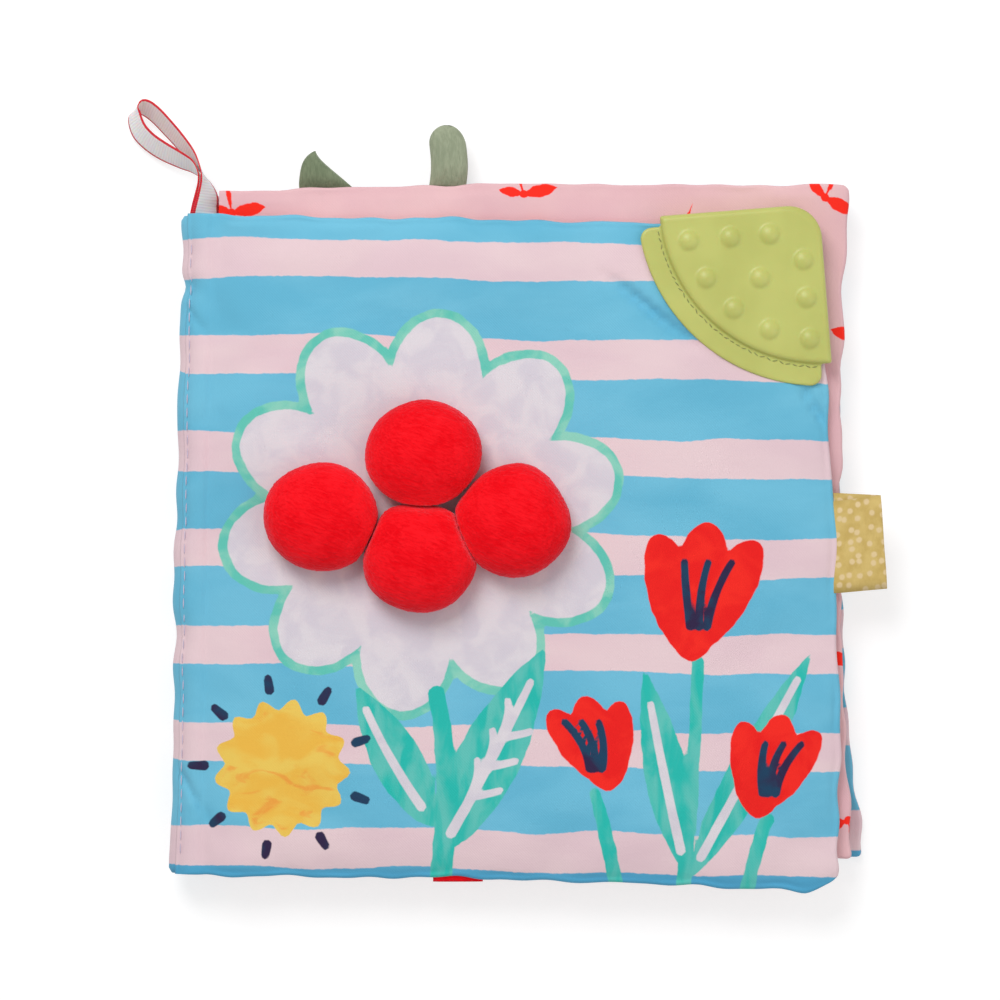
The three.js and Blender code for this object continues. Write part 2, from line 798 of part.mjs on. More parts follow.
function addRibbon() {
  addPiece("hanging_ribbon_lower_end", ribbonPly(-1), finish(ribbonWhite));
  addPiece("hanging_ribbon_upper_end", ribbonPly(1), finish(ribbonWhite));
  addPiece("hanging_ribbon_loop", loopGeometry(), finish(ribbonWhite));
}

addSpine();
for (const leaf of leaves) addLeaf(leaf);
addTeether();
for (const ball of balls) addBall(ball);
for (const tab of plushTabs) addPlushTab(tab);
addTag();
addRibbon();

export default group;
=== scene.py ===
# Soft cloth book for a baby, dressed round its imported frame: padded leaves of printed cotton on a
# sewn spine, four plush balls, two plush tabs, a silicone teether, a ribbon tag and a hanging loop.
# Lengths are millimetres, and become metres where a mesh is made.
import json
import math
from dataclasses import dataclass

import bpy
import numpy as np
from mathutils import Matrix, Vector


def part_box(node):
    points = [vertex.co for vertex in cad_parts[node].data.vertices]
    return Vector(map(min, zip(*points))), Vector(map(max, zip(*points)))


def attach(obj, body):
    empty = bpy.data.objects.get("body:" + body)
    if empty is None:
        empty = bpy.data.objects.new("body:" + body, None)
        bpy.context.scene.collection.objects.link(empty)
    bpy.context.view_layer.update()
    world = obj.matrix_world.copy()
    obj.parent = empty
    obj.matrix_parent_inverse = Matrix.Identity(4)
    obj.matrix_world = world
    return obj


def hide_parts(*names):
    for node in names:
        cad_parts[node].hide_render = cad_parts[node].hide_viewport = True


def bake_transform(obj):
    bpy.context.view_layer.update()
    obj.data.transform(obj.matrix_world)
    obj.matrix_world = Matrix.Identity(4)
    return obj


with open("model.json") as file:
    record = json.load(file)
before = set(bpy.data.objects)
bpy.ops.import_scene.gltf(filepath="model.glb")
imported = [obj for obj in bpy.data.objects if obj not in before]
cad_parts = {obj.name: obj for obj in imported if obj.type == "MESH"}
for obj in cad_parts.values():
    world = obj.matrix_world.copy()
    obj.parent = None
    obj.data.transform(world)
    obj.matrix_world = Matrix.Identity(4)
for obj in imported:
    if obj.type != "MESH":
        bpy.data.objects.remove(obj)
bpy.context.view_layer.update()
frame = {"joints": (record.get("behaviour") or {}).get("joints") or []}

MM = 0.001


def box_of(node):
    """The lowest and highest corner of a CAD node, in millimetres."""
    low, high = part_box(node)
    return np.array(low) / MM, np.array(high) / MM


def joint_named(name):
    return next(joint for joint in frame["joints"] if joint["name"] == name)


# Cloth and filling, as in the frame
GAP = 0.3
FABRIC = 0.8
LEAF_THICKNESS = 5
LEAF_PITCH = LEAF_THICKNESS + GAP
SEAM_THICKNESS = 2 * FABRIC + GAP
PAD_SLOPE = 15
CORNER_RADIUS = 1.9
COVER_TOP_Z = 3 * LEAF_PITCH + LEAF_THICKNESS

# Spine
spine_low, spine_high = box_of("spine_wrap")
SPINE_X = (spine_low[0] + spine_high[0]) / 2
SPINE_Z = (spine_low[2] + spine_high[2]) / 2
SPINE_RADIUS = (spine_high[0] - spine_low[0]) / 2
HINGE_REACH = SPINE_RADIUS + GAP
ROOT_SLOPE = 11
OUTER_ROOT = 4.9
INNER_ROOT = 1.6


@dataclass
class Leaf:
    """One padded leaf. Reach is across at the top, and flare is what the bottom adds to it."""

    name: str
    body: str
    level: int
    side: int  # 1 if it hangs on the spine's upper half, -1 if on its lower half
    root: float
    seed: int
    reach: float = 189.6
    flare: float = 4.8
    bottom_y: float = -96.9
    top_y: float = 106.2
    rise: float = 4.8  # how far the top edge climbs towards the fore edge
    drop: float = -4.8  # how far the bottom edge falls towards it
    fore_bow: float = -2.6
    top_bow: float = 1
    bottom_bow: float = -0.6
    kick: float = 0  # how far the fore edge flops out near its bottom corner
    tuck: float = 0  # how far that corner is drawn up
    sag: float = 0  # how far its bottom edge hangs down

    @property
    def height(self):
        return self.top_y - self.bottom_y

    @property
    def start_x(self):
        nearest = self.root - SEAM_THICKNESS / 2
        return SPINE_X + math.sqrt(HINGE_REACH**2 - nearest**2)


LEAVES = (
    Leaf("back_cover", "book", 0, -1, OUTER_ROOT, 11, flare=8, top_y=105, kick=2.1),
    Leaf("rear_page", "rear_page", 1, -1, INNER_ROOT, 12, reach=188.6, top_y=105.6),
    Leaf("front_page", "front_page", 2, 1, INNER_ROOT, 13),
    Leaf(
        "front_cover", "front_cover", 3, 1, OUTER_ROOT, 14,
        reach=180.4, flare=10.9, bottom_y=-100.4, top_y=98.5,
        rise=0, drop=1.2, fore_bow=3.5, top_bow=0, bottom_bow=-1.2, tuck=4.2, sag=1.4,
    ),
)
BACK_COVER, FRONT_COVER = LEAVES[0], LEAVES[-1]


# Numbers and curves

def ripples(x, y, wavelength, seed, count=9):
    """A smooth random surface of about unit height: sine waves of many headings."""
    random = np.random.default_rng(seed)
    total = np.zeros(np.broadcast(x, y).shape)
    for _ in range(count):
        heading = random.uniform(0, 2 * math.pi)
        length = wavelength * random.uniform(0.7, 1.5)
        phase = random.uniform(0, 2 * math.pi)
        along = x * math.cos(heading) + y * math.sin(heading)
        total = total + np.sin(2 * math.pi * along / length + phase)
    return total / math.sqrt(count)


def ramp(distance, reach):
    """0 at an edge, rising evenly to 1 at this reach."""
    return np.clip(distance / reach, 0, 1)


def smooth_step(value):
    share = np.clip(value, 0, 1)
    return share * share * (3 - 2 * share)


def quarter_round(distance, reach):
    """0 at an edge, rising on a quarter circle to 1 at this reach."""
    return np.sqrt(1 - (1 - ramp(distance, reach)) ** 2)


def hump(share):
    """1 halfway and 0 at both ends."""
    return 4 * share * (1 - share)


def bell(distance, width):
    """1 at the middle, falling off evenly on both sides."""
    return np.exp(-((distance / width) ** 2))


def soft_min(first, second, blend):
    """The smaller of two numbers, rounded where they cross."""
    share = np.clip(0.5 + (second - first) / (2 * blend), 0, 1)
    return second + (first - second) * share - blend * share * (1 - share)


def limited(change, outward, inward):
    """A change of height, eased off so that it stays between an inward and an outward limit."""
    return np.where(change > 0, outward * np.tanh(change / outward), inward * np.tanh(change / inward))


def whole_turn(count):
    return np.linspace(0, 2 * math.pi, count, endpoint=False)


def running_length(points):
    """How far along a line each of its points lies."""
    steps = np.linalg.norm(np.diff(points, axis=0), axis=1)
    return np.concatenate([[0], np.cumsum(steps)])


def smooth_path(points, count):
    """Evenly spaced points on a smooth curve through these points; what follows a place goes with it."""
    given = np.array(points, float)
    ends = np.vstack([2 * given[0] - given[1], given, 2 * given[-1] - given[-2]])
    fine = []
    for index in range(len(given) - 1):
        before, start, end, after = ends[index : index + 4]
        for share in np.linspace(0, 1, 20, endpoint=False):
            bend = 2 * before - 5 * start + 4 * end - after
            twist = 3 * start - before - 3 * end + after
            fine.append(start + share * (end - before + share * (bend + share * twist)) / 2)
    fine = np.array([*fine, given[-1]])
    lengths = running_length(fine[:, :3])
    wanted = np.linspace(0, lengths[-1], count)
    return np.stack([np.interp(wanted, lengths, column) for column in fine.T], axis=1)


def finer(grid):
    """The grid with a new line between every two lines, on a smooth curve through them."""
    for axis in (0, 1):
        lines = np.moveaxis(grid, axis, 0)
        outer = np.concatenate([2 * lines[:1] - lines[1:2], lines, 2 * lines[-1:] - lines[-2:-1]])
        between = (9 * (outer[1:-2] + outer[2:-1]) - (outer[:-3] + outer[3:])) / 16
        woven = np.empty((2 * len(lines) - 1, *lines.shape[1:]))
        woven[::2] = lines
        woven[1::2] = between
        grid = np.moveaxis(woven, 0, axis)
    return grid


def turned_about_z(points, angle, origin):
    """Points turned about Z, then moved to an origin in plan."""
    x, y, z = np.moveaxis(np.array(points, float), -1, 0)
    cosine, sine = math.cos(angle), math.sin(angle)
    return np.stack([origin[0] + x * cosine - y * sine, origin[1] + x * sine + y * cosine, z], axis=-1)


# Meshes

def add_object(name, data):
    item = bpy.data.objects.new(name, data)
    bpy.context.scene.collection.objects.link(item)
    return item


def smooth_piece(name, mesh):
    mesh.polygons.foreach_set("use_smooth", [True] * len(mesh.polygons))
    return add_object(name, mesh)


def make_piece(name, points, faces, finish):
    mesh = bpy.data.meshes.new(name)
    mesh.from_pydata((np.asarray(points, float) * MM).tolist(), [], faces)
    mesh.materials.append(MATERIALS[finish])
    return smooth_piece(name, mesh)


def dress(piece, body, replaced):
    """Says which nodes of the frame a piece stands for and which body carries it."""
    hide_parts(*replaced)
    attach(piece, body)


def points_of(piece):
    return np.array([vertex.co for vertex in piece.data.vertices]) / MM


def store(piece, name, values):
    """Keeps a number or a place at every vertex, for the piece's material."""
    values = np.asarray(values, np.float32)
    is_place = values.ndim == 2
    kind = "FLOAT_VECTOR" if is_place else "FLOAT"
    attribute = piece.data.attributes.new(name, kind, "POINT")
    attribute.data.foreach_set("vector" if is_place else "value", values.ravel())


def store_place(piece, across, along):
    """Keeps where each point lies on the flat cloth."""
    store(piece, "cloth_place", np.column_stack([across, along, np.zeros_like(across)]))


def grid_faces(numbers):
    """The faces between the numbered points of a grid."""
    corners = numbers[:-1, :-1], numbers[:-1, 1:], numbers[1:, 1:], numbers[1:, :-1]
    return np.stack(corners, axis=-1).reshape(-1, 4)


def sheet_faces(rows, columns):
    """Faces of a closed sheet of two like grids, the lower one first."""
    lower = np.arange(rows * columns).reshape(rows, columns)
    edge = np.concatenate([lower[0, :-1], lower[:-1, -1], lower[-1, :0:-1], lower[:0:-1, 0]])
    round_edge = np.append(edge, edge[0])
    sides = grid_faces(np.stack([round_edge, round_edge + lower.size]))
    faces = grid_faces(lower)[:, ::-1], grid_faces(lower + lower.size), sides
    return np.concatenate(faces).tolist()


def closed_sheet(name, lower, upper, finish):
    """A closed mesh between two like grids of points."""
    points = np.concatenate([lower.reshape(-1, 3), upper.reshape(-1, 3)])
    return make_piece(name, points, sheet_faces(*lower.shape[:2]), finish)


def join_lofts(name, lofts, finish):
    """One piece made of closed meshes through rings of points, each shut at both ends."""
    points, faces = [], []
    start = 0
    for rings in lofts:
        count, sides = rings.shape[:2]
        numbers = start + np.arange(count * sides).reshape(count, sides)
        faces += grid_faces(np.hstack([numbers, numbers[:, :1]])).tolist()
        faces += [numbers[0, ::-1].tolist(), numbers[-1].tolist()]
        points.append(rings.reshape(-1, 3))
        start += numbers.size
    return make_piece(name, np.concatenate(points), faces, finish)


def make_stuffed(name, skin_word, skin_rings, fibre_rings, finish, body):
    """A sewn skin and the stuffing inside it."""
    skin = join_lofts(f"{name}_{skin_word}", [skin_rings], finish)
    dress(skin, body, [name])
    stuffing = join_lofts(name + "_fibre", [fibre_rings], "stuffing")
    dress(stuffing, body, [name + "_stuffing"])


THREAD_TIP = 0.25  # how thick a stitch's thread is at its ends, as a share of its middle


def capsule(start, end, radius, sides=8, rings=5):
    """Rings of a short round-ended thread between two points."""
    ahead = (end - start) / np.linalg.norm(end - start)
    across = np.cross(ahead, (0, 0, 1.0))
    across /= np.linalg.norm(across)
    up = np.cross(across, ahead)
    turn = whole_turn(sides)
    section = np.outer(np.cos(turn), across) - np.outer(np.sin(turn), up)
    made = []
    for share in np.linspace(0, 1, rings):
        fat = radius * (THREAD_TIP + (1 - THREAD_TIP) * math.sin(math.pi * share) ** 0.5)
        made.append(start + share * (end - start) + fat * section)
    return np.array(made)


def evaluated_copy(piece):
    """The piece's mesh with its modifiers applied."""
    graph = bpy.context.evaluated_depsgraph_get()
    return bpy.data.meshes.new_from_object(piece.evaluated_get(graph))


# Materials

def colour(red, green, blue):
    """A screen colour as the linear colour that the shader takes."""
    linear = []
    for value in (red, green, blue):
        share = value / 255
        linear.append(share / 12.92 if share <= 0.04045 else ((share + 0.055) / 1.055) ** 2.4)
    return (*linear, 1)


class Paint:
    """The nodes of one material, or of the world, with short names for what they do."""

    def __init__(self, name, owners=bpy.data.materials, shader="BSDF_PRINCIPLED", **sockets):
        self.owner = owners.new(name)
        self.owner.use_nodes = True
        self.tree = self.owner.node_tree
        self.shader = next(node for node in self.tree.nodes if node.type == shader)
        for socket, value in sockets.items():
            self.join(socket, value)

    def join(self, socket, value):
        """Gives the shader's socket a value, or links another socket to it."""
        self.join_to(self.shader.inputs[socket.replace("_", " ")], value)

    def join_to(self, socket, value):
        if isinstance(value, bpy.types.NodeSocket):
            self.tree.links.new(value, socket)
        else:
            socket.default_value = value

    def node(self, kind, inputs, **settings):
        node = self.tree.nodes.new("ShaderNode" + kind)
        for setting, value in settings.items():
            setattr(node, setting, value)
        for socket, value in inputs.items():
            self.join_to(node.inputs[socket], value)
        return node

    def math(self, operation, first, second=0.0, third=0.0):
        inputs = {0: first, 1: second, 2: third}
        return self.node("Math", inputs, operation=operation).outputs[0]

    def plus(self, first, second):
        return self.math("ADD", first, second)

    def minus(self, first, second):
        return self.math("SUBTRACT", first, second)

    def times(self, first, second):
        return self.math("MULTIPLY", first, second)

    def scaled(self, value, factor, added):
        return self.math("MULTIPLY_ADD", value, factor, added)

    def swing(self, noise, width):
        """The noise as a shift of up to half this width either way."""
        return self.scaled(noise, width, -width / 2)

    def wave(self, value, length):
        """A sine wave of this length, from -1 to 1."""
        return self.math("SINE", self.times(value, 2 * math.pi / length))

    def mix(self, share, first, second):
        inputs = {0: share, 6: first, 7: second}
        return self.node("Mix", inputs, data_type="RGBA").outputs[2]

    def tones(self, noise, spread, first, second):
        """One colour turning into another within this spread of the noise's middle value."""
        return self.mix(self.step(noise, 0.5 - spread, 0.5 + spread), first, second)

    def attribute(self, name, output="Fac"):
        return self.node("Attribute", {}, attribute_name=name).outputs[output]

    def cloth_place(self):
        """The place on the flat cloth in millimetres."""
        return self.attribute("cloth_place", "Vector")

    def object_place(self):
        """The place on the object in millimetres."""
        place = self.node("TexCoord", {}).outputs["Object"]
        return self.stretched(place, (1 / MM, 1 / MM, 1 / MM))

    def stretched(self, place, scale, turn=0.0):
        """The place turned about Z, then scaled."""
        if turn:
            place = self.node("Mapping", {"Vector": place, "Rotation": (0, 0, turn)}).outputs[0]
        return self.node("Mapping", {"Vector": place, "Scale": scale}).outputs[0]

    def parts(self, place):
        return self.node("SeparateXYZ", {0: place}).outputs

    def noise(self, place, size, detail=2.0, distortion=0.0):
        inputs = {"Vector": place, "Scale": 1 / size, "Detail": detail, "Distortion": distortion}
        return self.node("TexNoise", inputs).outputs[0]

    def cells(self, place, size, randomness):
        """Flat cells scattered about this far apart."""
        inputs = {"Vector": place, "Scale": 1 / size, "Randomness": randomness}
        return self.node("TexVoronoi", inputs, voronoi_dimensions="2D").outputs

    def step(self, value, start, end):
        """0 before start and 1 after end, smooth between them."""
        inputs = {"Value": value, "From Min": start, "From Max": end}
        return self.node("MapRange", inputs, interpolation_type="SMOOTHSTEP").outputs[0]

    def bump(self, height, depth, strength=1.0, under=None):
        """Bumps of this depth in millimetres, on top of those under them."""
        inputs = {"Strength": strength, "Distance": depth * MM, "Height": height}
        if under is not None:
            inputs["Normal"] = under
        return self.node("Bump", inputs).outputs[0]

    def weave(self, place, thread=0.42):
        """The bumps of a plain weave."""
        x, y = self.parts(place)[:2]
        crossing = self.times(self.wave(x, 2 * thread), self.wave(y, 2 * thread))
        return self.bump(self.scaled(crossing, 0.5, 0.5), depth=0.06, strength=0.45)

    def seen(self):
        """1 for what the camera sees, straight or by way of gloss or glass, and 0 for the rest."""
        rays = self.node("LightPath", {}).outputs
        mirrored = self.math("MAXIMUM", rays["Is Camera Ray"], rays["Is Glossy Ray"])
        return self.math("MAXIMUM", mirrored, rays["Is Transmission Ray"])

    def finish(self, base, normal):
        self.join("Base Color", base)
        self.join("Normal", normal)
        return self.owner


STRIPE_PERIOD = 29.1
STRIPE_MIDDLE = 71.3
STRIPE_HALF = 8.8
STRIPE_EDGE = 0.2
STRIPE_WANDER = 5.2
STRIPE_FRINGE = 0.7
LOW_STRIPES = (-62, -95, 2.6)  # the lower stripes drift down between these heights, by this much
FOOT_SHADE = (-93, -99, 0.7)  # painted shade: the foot's blue deepens between these heights, by this share, where the cover turns down away from the light


def striped_cotton(name, printed):
    """Blue and pink painted stripes on cotton, with the garden print where asked."""
    paint = Paint(name, Roughness=0.86, Specular_IOR_Level=0.25, Sheen_Weight=0.12, Sheen_Roughness=0.5)
    place = paint.cloth_place()
    up = paint.parts(place)[1]
    wander = paint.swing(paint.noise(place, 46), STRIPE_WANDER)
    fringe = paint.swing(paint.noise(place, 2.2), STRIPE_FRINGE)
    start, end, drift = LOW_STRIPES
    lower = paint.times(paint.step(up, start, end), drift)
    moved = paint.plus(paint.plus(paint.plus(up, wander), fringe), lower)
    half_period = STRIPE_PERIOD / 2
    phase = paint.math("WRAP", moved, half_period + STRIPE_MIDDLE, STRIPE_MIDDLE - half_period)
    apart = paint.math("ABSOLUTE", paint.minus(phase, STRIPE_MIDDLE))
    in_blue = paint.step(apart, STRIPE_HALF + STRIPE_EDGE, STRIPE_HALF - STRIPE_EDGE)
    wash = paint.noise(paint.stretched(place, (0.45, 1, 1)), 21, detail=4, distortion=0.4)
    blue = paint.tones(wash, 0.16, colour(114, 191, 219), colour(99, 180, 210))
    # painted shade on the cover's turned-down foot: its blue deepens towards the bottom edge
    start, end, shade = FOOT_SHADE
    blue = paint.mix(paint.times(paint.step(up, start, end), shade), blue, colour(62, 152, 196))
    pink = paint.tones(wash, 0.2, colour(232, 206, 210), colour(225, 196, 204))
    base = paint.mix(in_blue, pink, blue)
    if printed:
        base = garden(paint, base, place)
    slubs = paint.noise(paint.stretched(place, (0.2, 1, 1)), 1.1)
    return paint.finish(base, paint.bump(slubs, depth=0.05, strength=0.5, under=paint.weave(place)))


# Tones of the painted garden: pale, deep, and how the brush strokes are stretched
GARDEN_TONES = {
    "lilac": ((222, 216, 222), (212, 206, 216), (1, 1, 1)),
    "mint": ((142, 210, 190), (96, 196, 180), (1, 1, 1)),
    "green": ((96, 194, 184), (36, 186, 174), (1.6, 0.5, 1)),
    "yellow": ((236, 200, 92), (236, 184, 72), (0.7, 1, 1)),
    "orange": ((240, 160, 66), (236, 148, 60), (0.7, 1, 1)),
    "red": ((246, 38, 28), (236, 24, 22), (1, 1, 1)),
    "navy": ((44, 30, 66), (22, 62, 92), (1, 1, 1)),
}
# Its layers from the lowest up: shape, tone, how much wider it is painted and how its edge wanders
GARDEN_LAYERS = (
    ("petals", "mint", 2.6, 1.6),
    ("petals", "lilac", 0.0, 1.6),
    ("foliage", "green", 0.0, 1.6),
    ("veins", "lilac", 0.2, 0.4),
    ("sun", "yellow", 0.0, 1.6),
    ("blooms", "red", 0.0, 1.6),
    ("twigs", "navy", 0.2, 0.4),
)
PAINT_EDGE = 0.22


def garden(paint, base, place):
    """The painted flowers, leaves and sun over the stripes, from the distances stored on the cloth."""
    tones = {}
    for name, (pale, deep, stretch) in GARDEN_TONES.items():
        strokes = paint.noise(paint.stretched(place, stretch), 9, detail=3, distortion=0.6)
        tones[name] = paint.tones(strokes, 0.14, colour(*pale), colour(*deep))
    grain = paint.noise(place, 7, detail=3)
    for shape, tone, wider, wander in GARDEN_LAYERS:
        distance = paint.attribute(shape)
        moved = paint.plus(distance, paint.scaled(grain, wander, -wander / 2 - wider))
        base = paint.mix(paint.step(moved, PAINT_EDGE, -PAINT_EDGE), base, tones[tone])
        if shape == "sun":
            streaks = paint.noise(paint.stretched(place, (0.6, 1.4, 1)), 8, detail=4, distortion=1.2)
            glow = paint.times(paint.step(streaks, 0.54, 0.66), paint.step(distance, -0.5, -2.5))
            base = paint.mix(paint.times(glow, 0.75), base, tones["orange"])
    return base


SPRIG_SPACING = 44
BERRY_RADIUS = 1.3
SPRIG_LEAVES = ((1.25, 10.5, 2.0), (-0.35, 12, 0.7), (-1.5, 7.5, 1.5))  # lean, length, half width


def sprig(paint, offset):
    """About how far a point lies outside a sprig of two leaves and a stem about a berry."""
    x, y = paint.parts(offset)[:2]
    away = paint.node("VectorMath", {0: offset}, operation="LENGTH").outputs["Value"]
    drawn = paint.minus(away, BERRY_RADIUS)
    for lean, length, half_width in SPRIG_LEAVES:
        sine, cosine = math.sin(lean), math.cos(lean)
        along = paint.plus(paint.times(x, sine), paint.times(y, cosine))
        across = paint.minus(paint.times(x, cosine), paint.times(y, sine))
        share = paint.scaled(along, 2 / length, -1.0)
        belly = paint.scaled(paint.times(share, share), -half_width, half_width)
        outside = paint.minus(paint.math("ABSOLUTE", across), belly)
        drawn = paint.math("MINIMUM", drawn, outside)
    return drawn


def page_cotton(name):
    """Pink cotton with scattered red sprigs."""
    paint = Paint(name, Roughness=0.88, Specular_IOR_Level=0.22, Sheen_Weight=0.12, Sheen_Roughness=0.5)
    place = paint.cloth_place()
    wash = paint.noise(place, 26, detail=3)
    pink = paint.tones(wash, 0.2, colour(232, 190, 193), colour(226, 181, 187))
    cells = paint.cells(place, SPRIG_SPACING, 0.6)
    offset = paint.node("VectorMath", {0: place, 1: cells["Position"]}, operation="SUBTRACT").outputs[0]
    turn = paint.times(paint.parts(cells["Color"])[0], 2 * math.pi)
    turned = paint.node("VectorRotate", {"Vector": offset, "Angle": turn}, rotation_type="Z_AXIS")
    edge = paint.swing(paint.noise(place, 2.4), 1.2)
    in_sprig = paint.step(paint.plus(sprig(paint, turned.outputs[0]), edge), 0.2, -0.2)
    return paint.finish(paint.mix(in_sprig, pink, colour(252, 42, 26)), paint.weave(place))


def fleece(name, pale, deep):
    """Soft white fibre."""
    paint = Paint(name, Roughness=1.0, Sheen_Weight=0.2, Sheen_Roughness=0.6)
    tufts = paint.noise(paint.object_place(), 1.4, detail=5, distortion=1.0)
    return paint.finish(paint.mix(tufts, pale, deep), paint.bump(tufts, depth=0.5, strength=0.8))


def crinkle_film(name):
    """Thin rustling film, pearly and creased."""
    paint = Paint(name, Roughness=0.3, Specular_IOR_Level=0.6, Coat_Weight=0.3)
    creases = paint.noise(paint.object_place(), 6, detail=4, distortion=1.5)
    base = paint.mix(creases, colour(226, 229, 234), colour(205, 211, 219))
    return paint.finish(base, paint.bump(creases, depth=0.6))


def velour(name, pale, deep, rim, comb=0.35):
    """Short plush pile, combed along a heading: the shader's sheen catches light at the rims, and where it
    is laid over and along the pile its colour is painted lighter on the crests and darker between them, as
    painted sheen and shade.
    """
    paint = Paint(
        name, Roughness=0.95, Specular_IOR_Level=0.1, Sheen_Weight=0.5, Sheen_Roughness=0.4, Sheen_Tint=rim,
    )
    place = paint.object_place()
    laid = paint.noise(place, 9, distortion=0.4)
    combed = paint.stretched(place, (0.2, 1, 1), turn=comb)
    pile = paint.noise(combed, 0.6, detail=3, distortion=0.5)
    streaks = paint.noise(combed, 1.8, distortion=0.8)
    tone = paint.scaled(paint.minus(pile, 0.5), 1.3, laid)
    tone = paint.scaled(paint.minus(streaks, 0.5), 0.5, tone)
    # painted sheen and shade: the tone rises with the laid-over folds and the pile that the bumps below are
    # made of
    base = paint.tones(tone, 0.35, deep, pale)
    folds = paint.bump(laid, depth=0.8, strength=0.4)
    return paint.finish(base, paint.bump(pile, depth=0.35, strength=0.9, under=folds))


def soft_silicone(name):
    paint = Paint(
        name, Roughness=0.4, Specular_IOR_Level=0.45, Subsurface_Weight=0.12, Subsurface_Scale=0.004,
    )
    place = paint.object_place()
    base = paint.tones(paint.noise(place, 14), 0.2, colour(191, 194, 106), colour(184, 187, 99))
    grain = paint.noise(place, 0.35)
    return paint.finish(base, paint.bump(grain, depth=0.04, strength=0.35))


DOT_SPACING = 3.4
DOT_EDGE = (1.4, 0.8)
TAG_RIB = 0.45


def dotted_ribbon(name):
    """Mustard satin ribbon with scattered pale dots."""
    paint = Paint(name, Roughness=0.6, Specular_IOR_Level=0.35, Sheen_Weight=0.2)
    place = paint.cloth_place()
    reach = paint.times(paint.cells(place, DOT_SPACING, 0.7)["Distance"], DOT_SPACING)
    in_dot = paint.step(paint.scaled(paint.noise(place, 1.5), 0.5, reach), *DOT_EDGE)
    wash = paint.noise(place, 5, detail=3)
    ground = paint.tones(wash, 0.15, colour(212, 184, 110), colour(198, 168, 92))
    ribs = paint.bump(paint.wave(paint.parts(place)[1], TAG_RIB), depth=0.05, strength=0.5)
    return paint.finish(paint.mix(in_dot, ground, colour(224, 198, 148)), ribs)


RIBBON_WIDTH = 10
RIBBON_RIB = 0.85
RIBBON_EDGE_THREAD = 0.6
RIBBON_EDGE = (1.15, 0.95)


def grosgrain(name):
    """Ribbed white ribbon with red woven edges."""
    paint = Paint(
        name, Roughness=0.72, Specular_IOR_Level=0.3, Sheen_Weight=0.15, Subsurface_Weight=0.3,
        Subsurface_Scale=0.003,
    )
    place = paint.cloth_place()
    across, along = paint.parts(place)[:2]
    from_edge = paint.minus(RIBBON_WIDTH / 2, paint.math("ABSOLUTE", across))
    frayed = paint.noise(paint.stretched(place, (1, 1.6, 1)), 0.8)
    in_edge = paint.step(paint.scaled(frayed, 0.35, from_edge), *RIBBON_EDGE)
    ribs = paint.wave(along, RIBBON_RIB)
    threads = paint.wave(along, RIBBON_EDGE_THREAD)
    # painted shade: the white is a little darker in the troughs between the ribs and lighter on their
    # crests
    white = paint.mix(paint.scaled(ribs, 0.5, 0.5), colour(240, 230, 231), colour(248, 241, 241))
    red = paint.mix(paint.scaled(threads, 0.5, 0.5), colour(196, 22, 40), colour(228, 48, 62))
    return paint.finish(paint.mix(in_edge, white, red), paint.bump(ribs, depth=0.06, strength=0.6))


def thread(name, tone):
    paint = Paint(name, Roughness=0.7, Sheen_Weight=0.2)
    shaded = (*(0.75 * part for part in tone[:3]), 1)
    paint.join("Base Color", paint.mix(paint.noise(paint.object_place(), 0.3), tone, shaded))
    return paint.owner


ALONG_TAB = math.pi / 2
SAGE_RIM = (0.9, 0.95, 0.85, 1)
OLIVE_RIM = (0.8, 0.9, 0.75, 1)
MATERIALS = {
    "cover": striped_cotton("cover_cotton_printed", True),
    "stripes": striped_cotton("cover_cotton_striped", False),
    "page": page_cotton("page_cotton"),
    "batting": fleece("batting_fleece", colour(246, 244, 239), colour(232, 229, 222)),
    "stuffing": fleece("stuffing_fibre", colour(244, 242, 238), colour(226, 223, 218)),
    "film": crinkle_film("crinkle_film"),
    "red": velour("plush_red", colour(255, 22, 34), colour(238, 2, 18), (1.0, 0.35, 0.45, 1)),
    "sage": velour("plush_sage", colour(160, 168, 142), colour(142, 151, 126), SAGE_RIM, ALONG_TAB),
    "olive": velour("plush_olive", colour(128, 140, 112), colour(110, 122, 96), OLIVE_RIM, ALONG_TAB),
    "silicone": soft_silicone("teether_silicone"),
    "tag": dotted_ribbon("dotted_ribbon"),
    "ribbon": grosgrain("grosgrain"),
    "pale_thread": thread("pale_thread", colour(212, 198, 220)),
    "olive_thread": thread("olive_thread", colour(146, 150, 84)),
}


# The garden print: distances from painted shapes, for places on the flat cover

def disc(x, y, middle, radius, wave=0, points=0):
    """How far a point lies outside a disc, whose edge may be waved into points."""
    over, up = x - middle[0], y - middle[1]
    return np.hypot(over, up) - radius - wave * np.cos(points * np.arctan2(up, over) + 0.6)


def ellipse(x, y, middle, along, across, heading):
    """About how far a point lies outside an ellipse that points along a heading."""
    over, up = x - middle[0], y - middle[1]
    u = (over * math.cos(heading) + up * math.sin(heading)) / along
    v = (up * math.cos(heading) - over * math.sin(heading)) / across
    reach = np.hypot(u, v)
    return reach * (reach - 1) / np.maximum(np.hypot(u / along, v / across), 1e-6)


def stroke(x, y, start, bend, end, start_width, end_width):
    """How far a point lies outside one bent brush stroke."""
    share = np.linspace(0, 1, 25)[:, None]
    start, bend, end = np.array(start), np.array(bend), np.array(end)
    curve = (1 - share) ** 2 * start + 2 * share * (1 - share) * bend + share**2 * end
    widths = start_width + (end_width - start_width) * share[:, 0]
    nearest = np.full(x.shape, 1e3)
    for (px, py), (qx, qy), width in zip(curve[:-1], curve[1:], widths):
        length = (qx - px) ** 2 + (qy - py) ** 2
        along = np.clip(((x - px) * (qx - px) + (y - py) * (qy - py)) / length, 0, 1)
        away = np.hypot(x - px - along * (qx - px), y - py - along * (qy - py))
        nearest = np.minimum(nearest, away - width / 2)
    return nearest


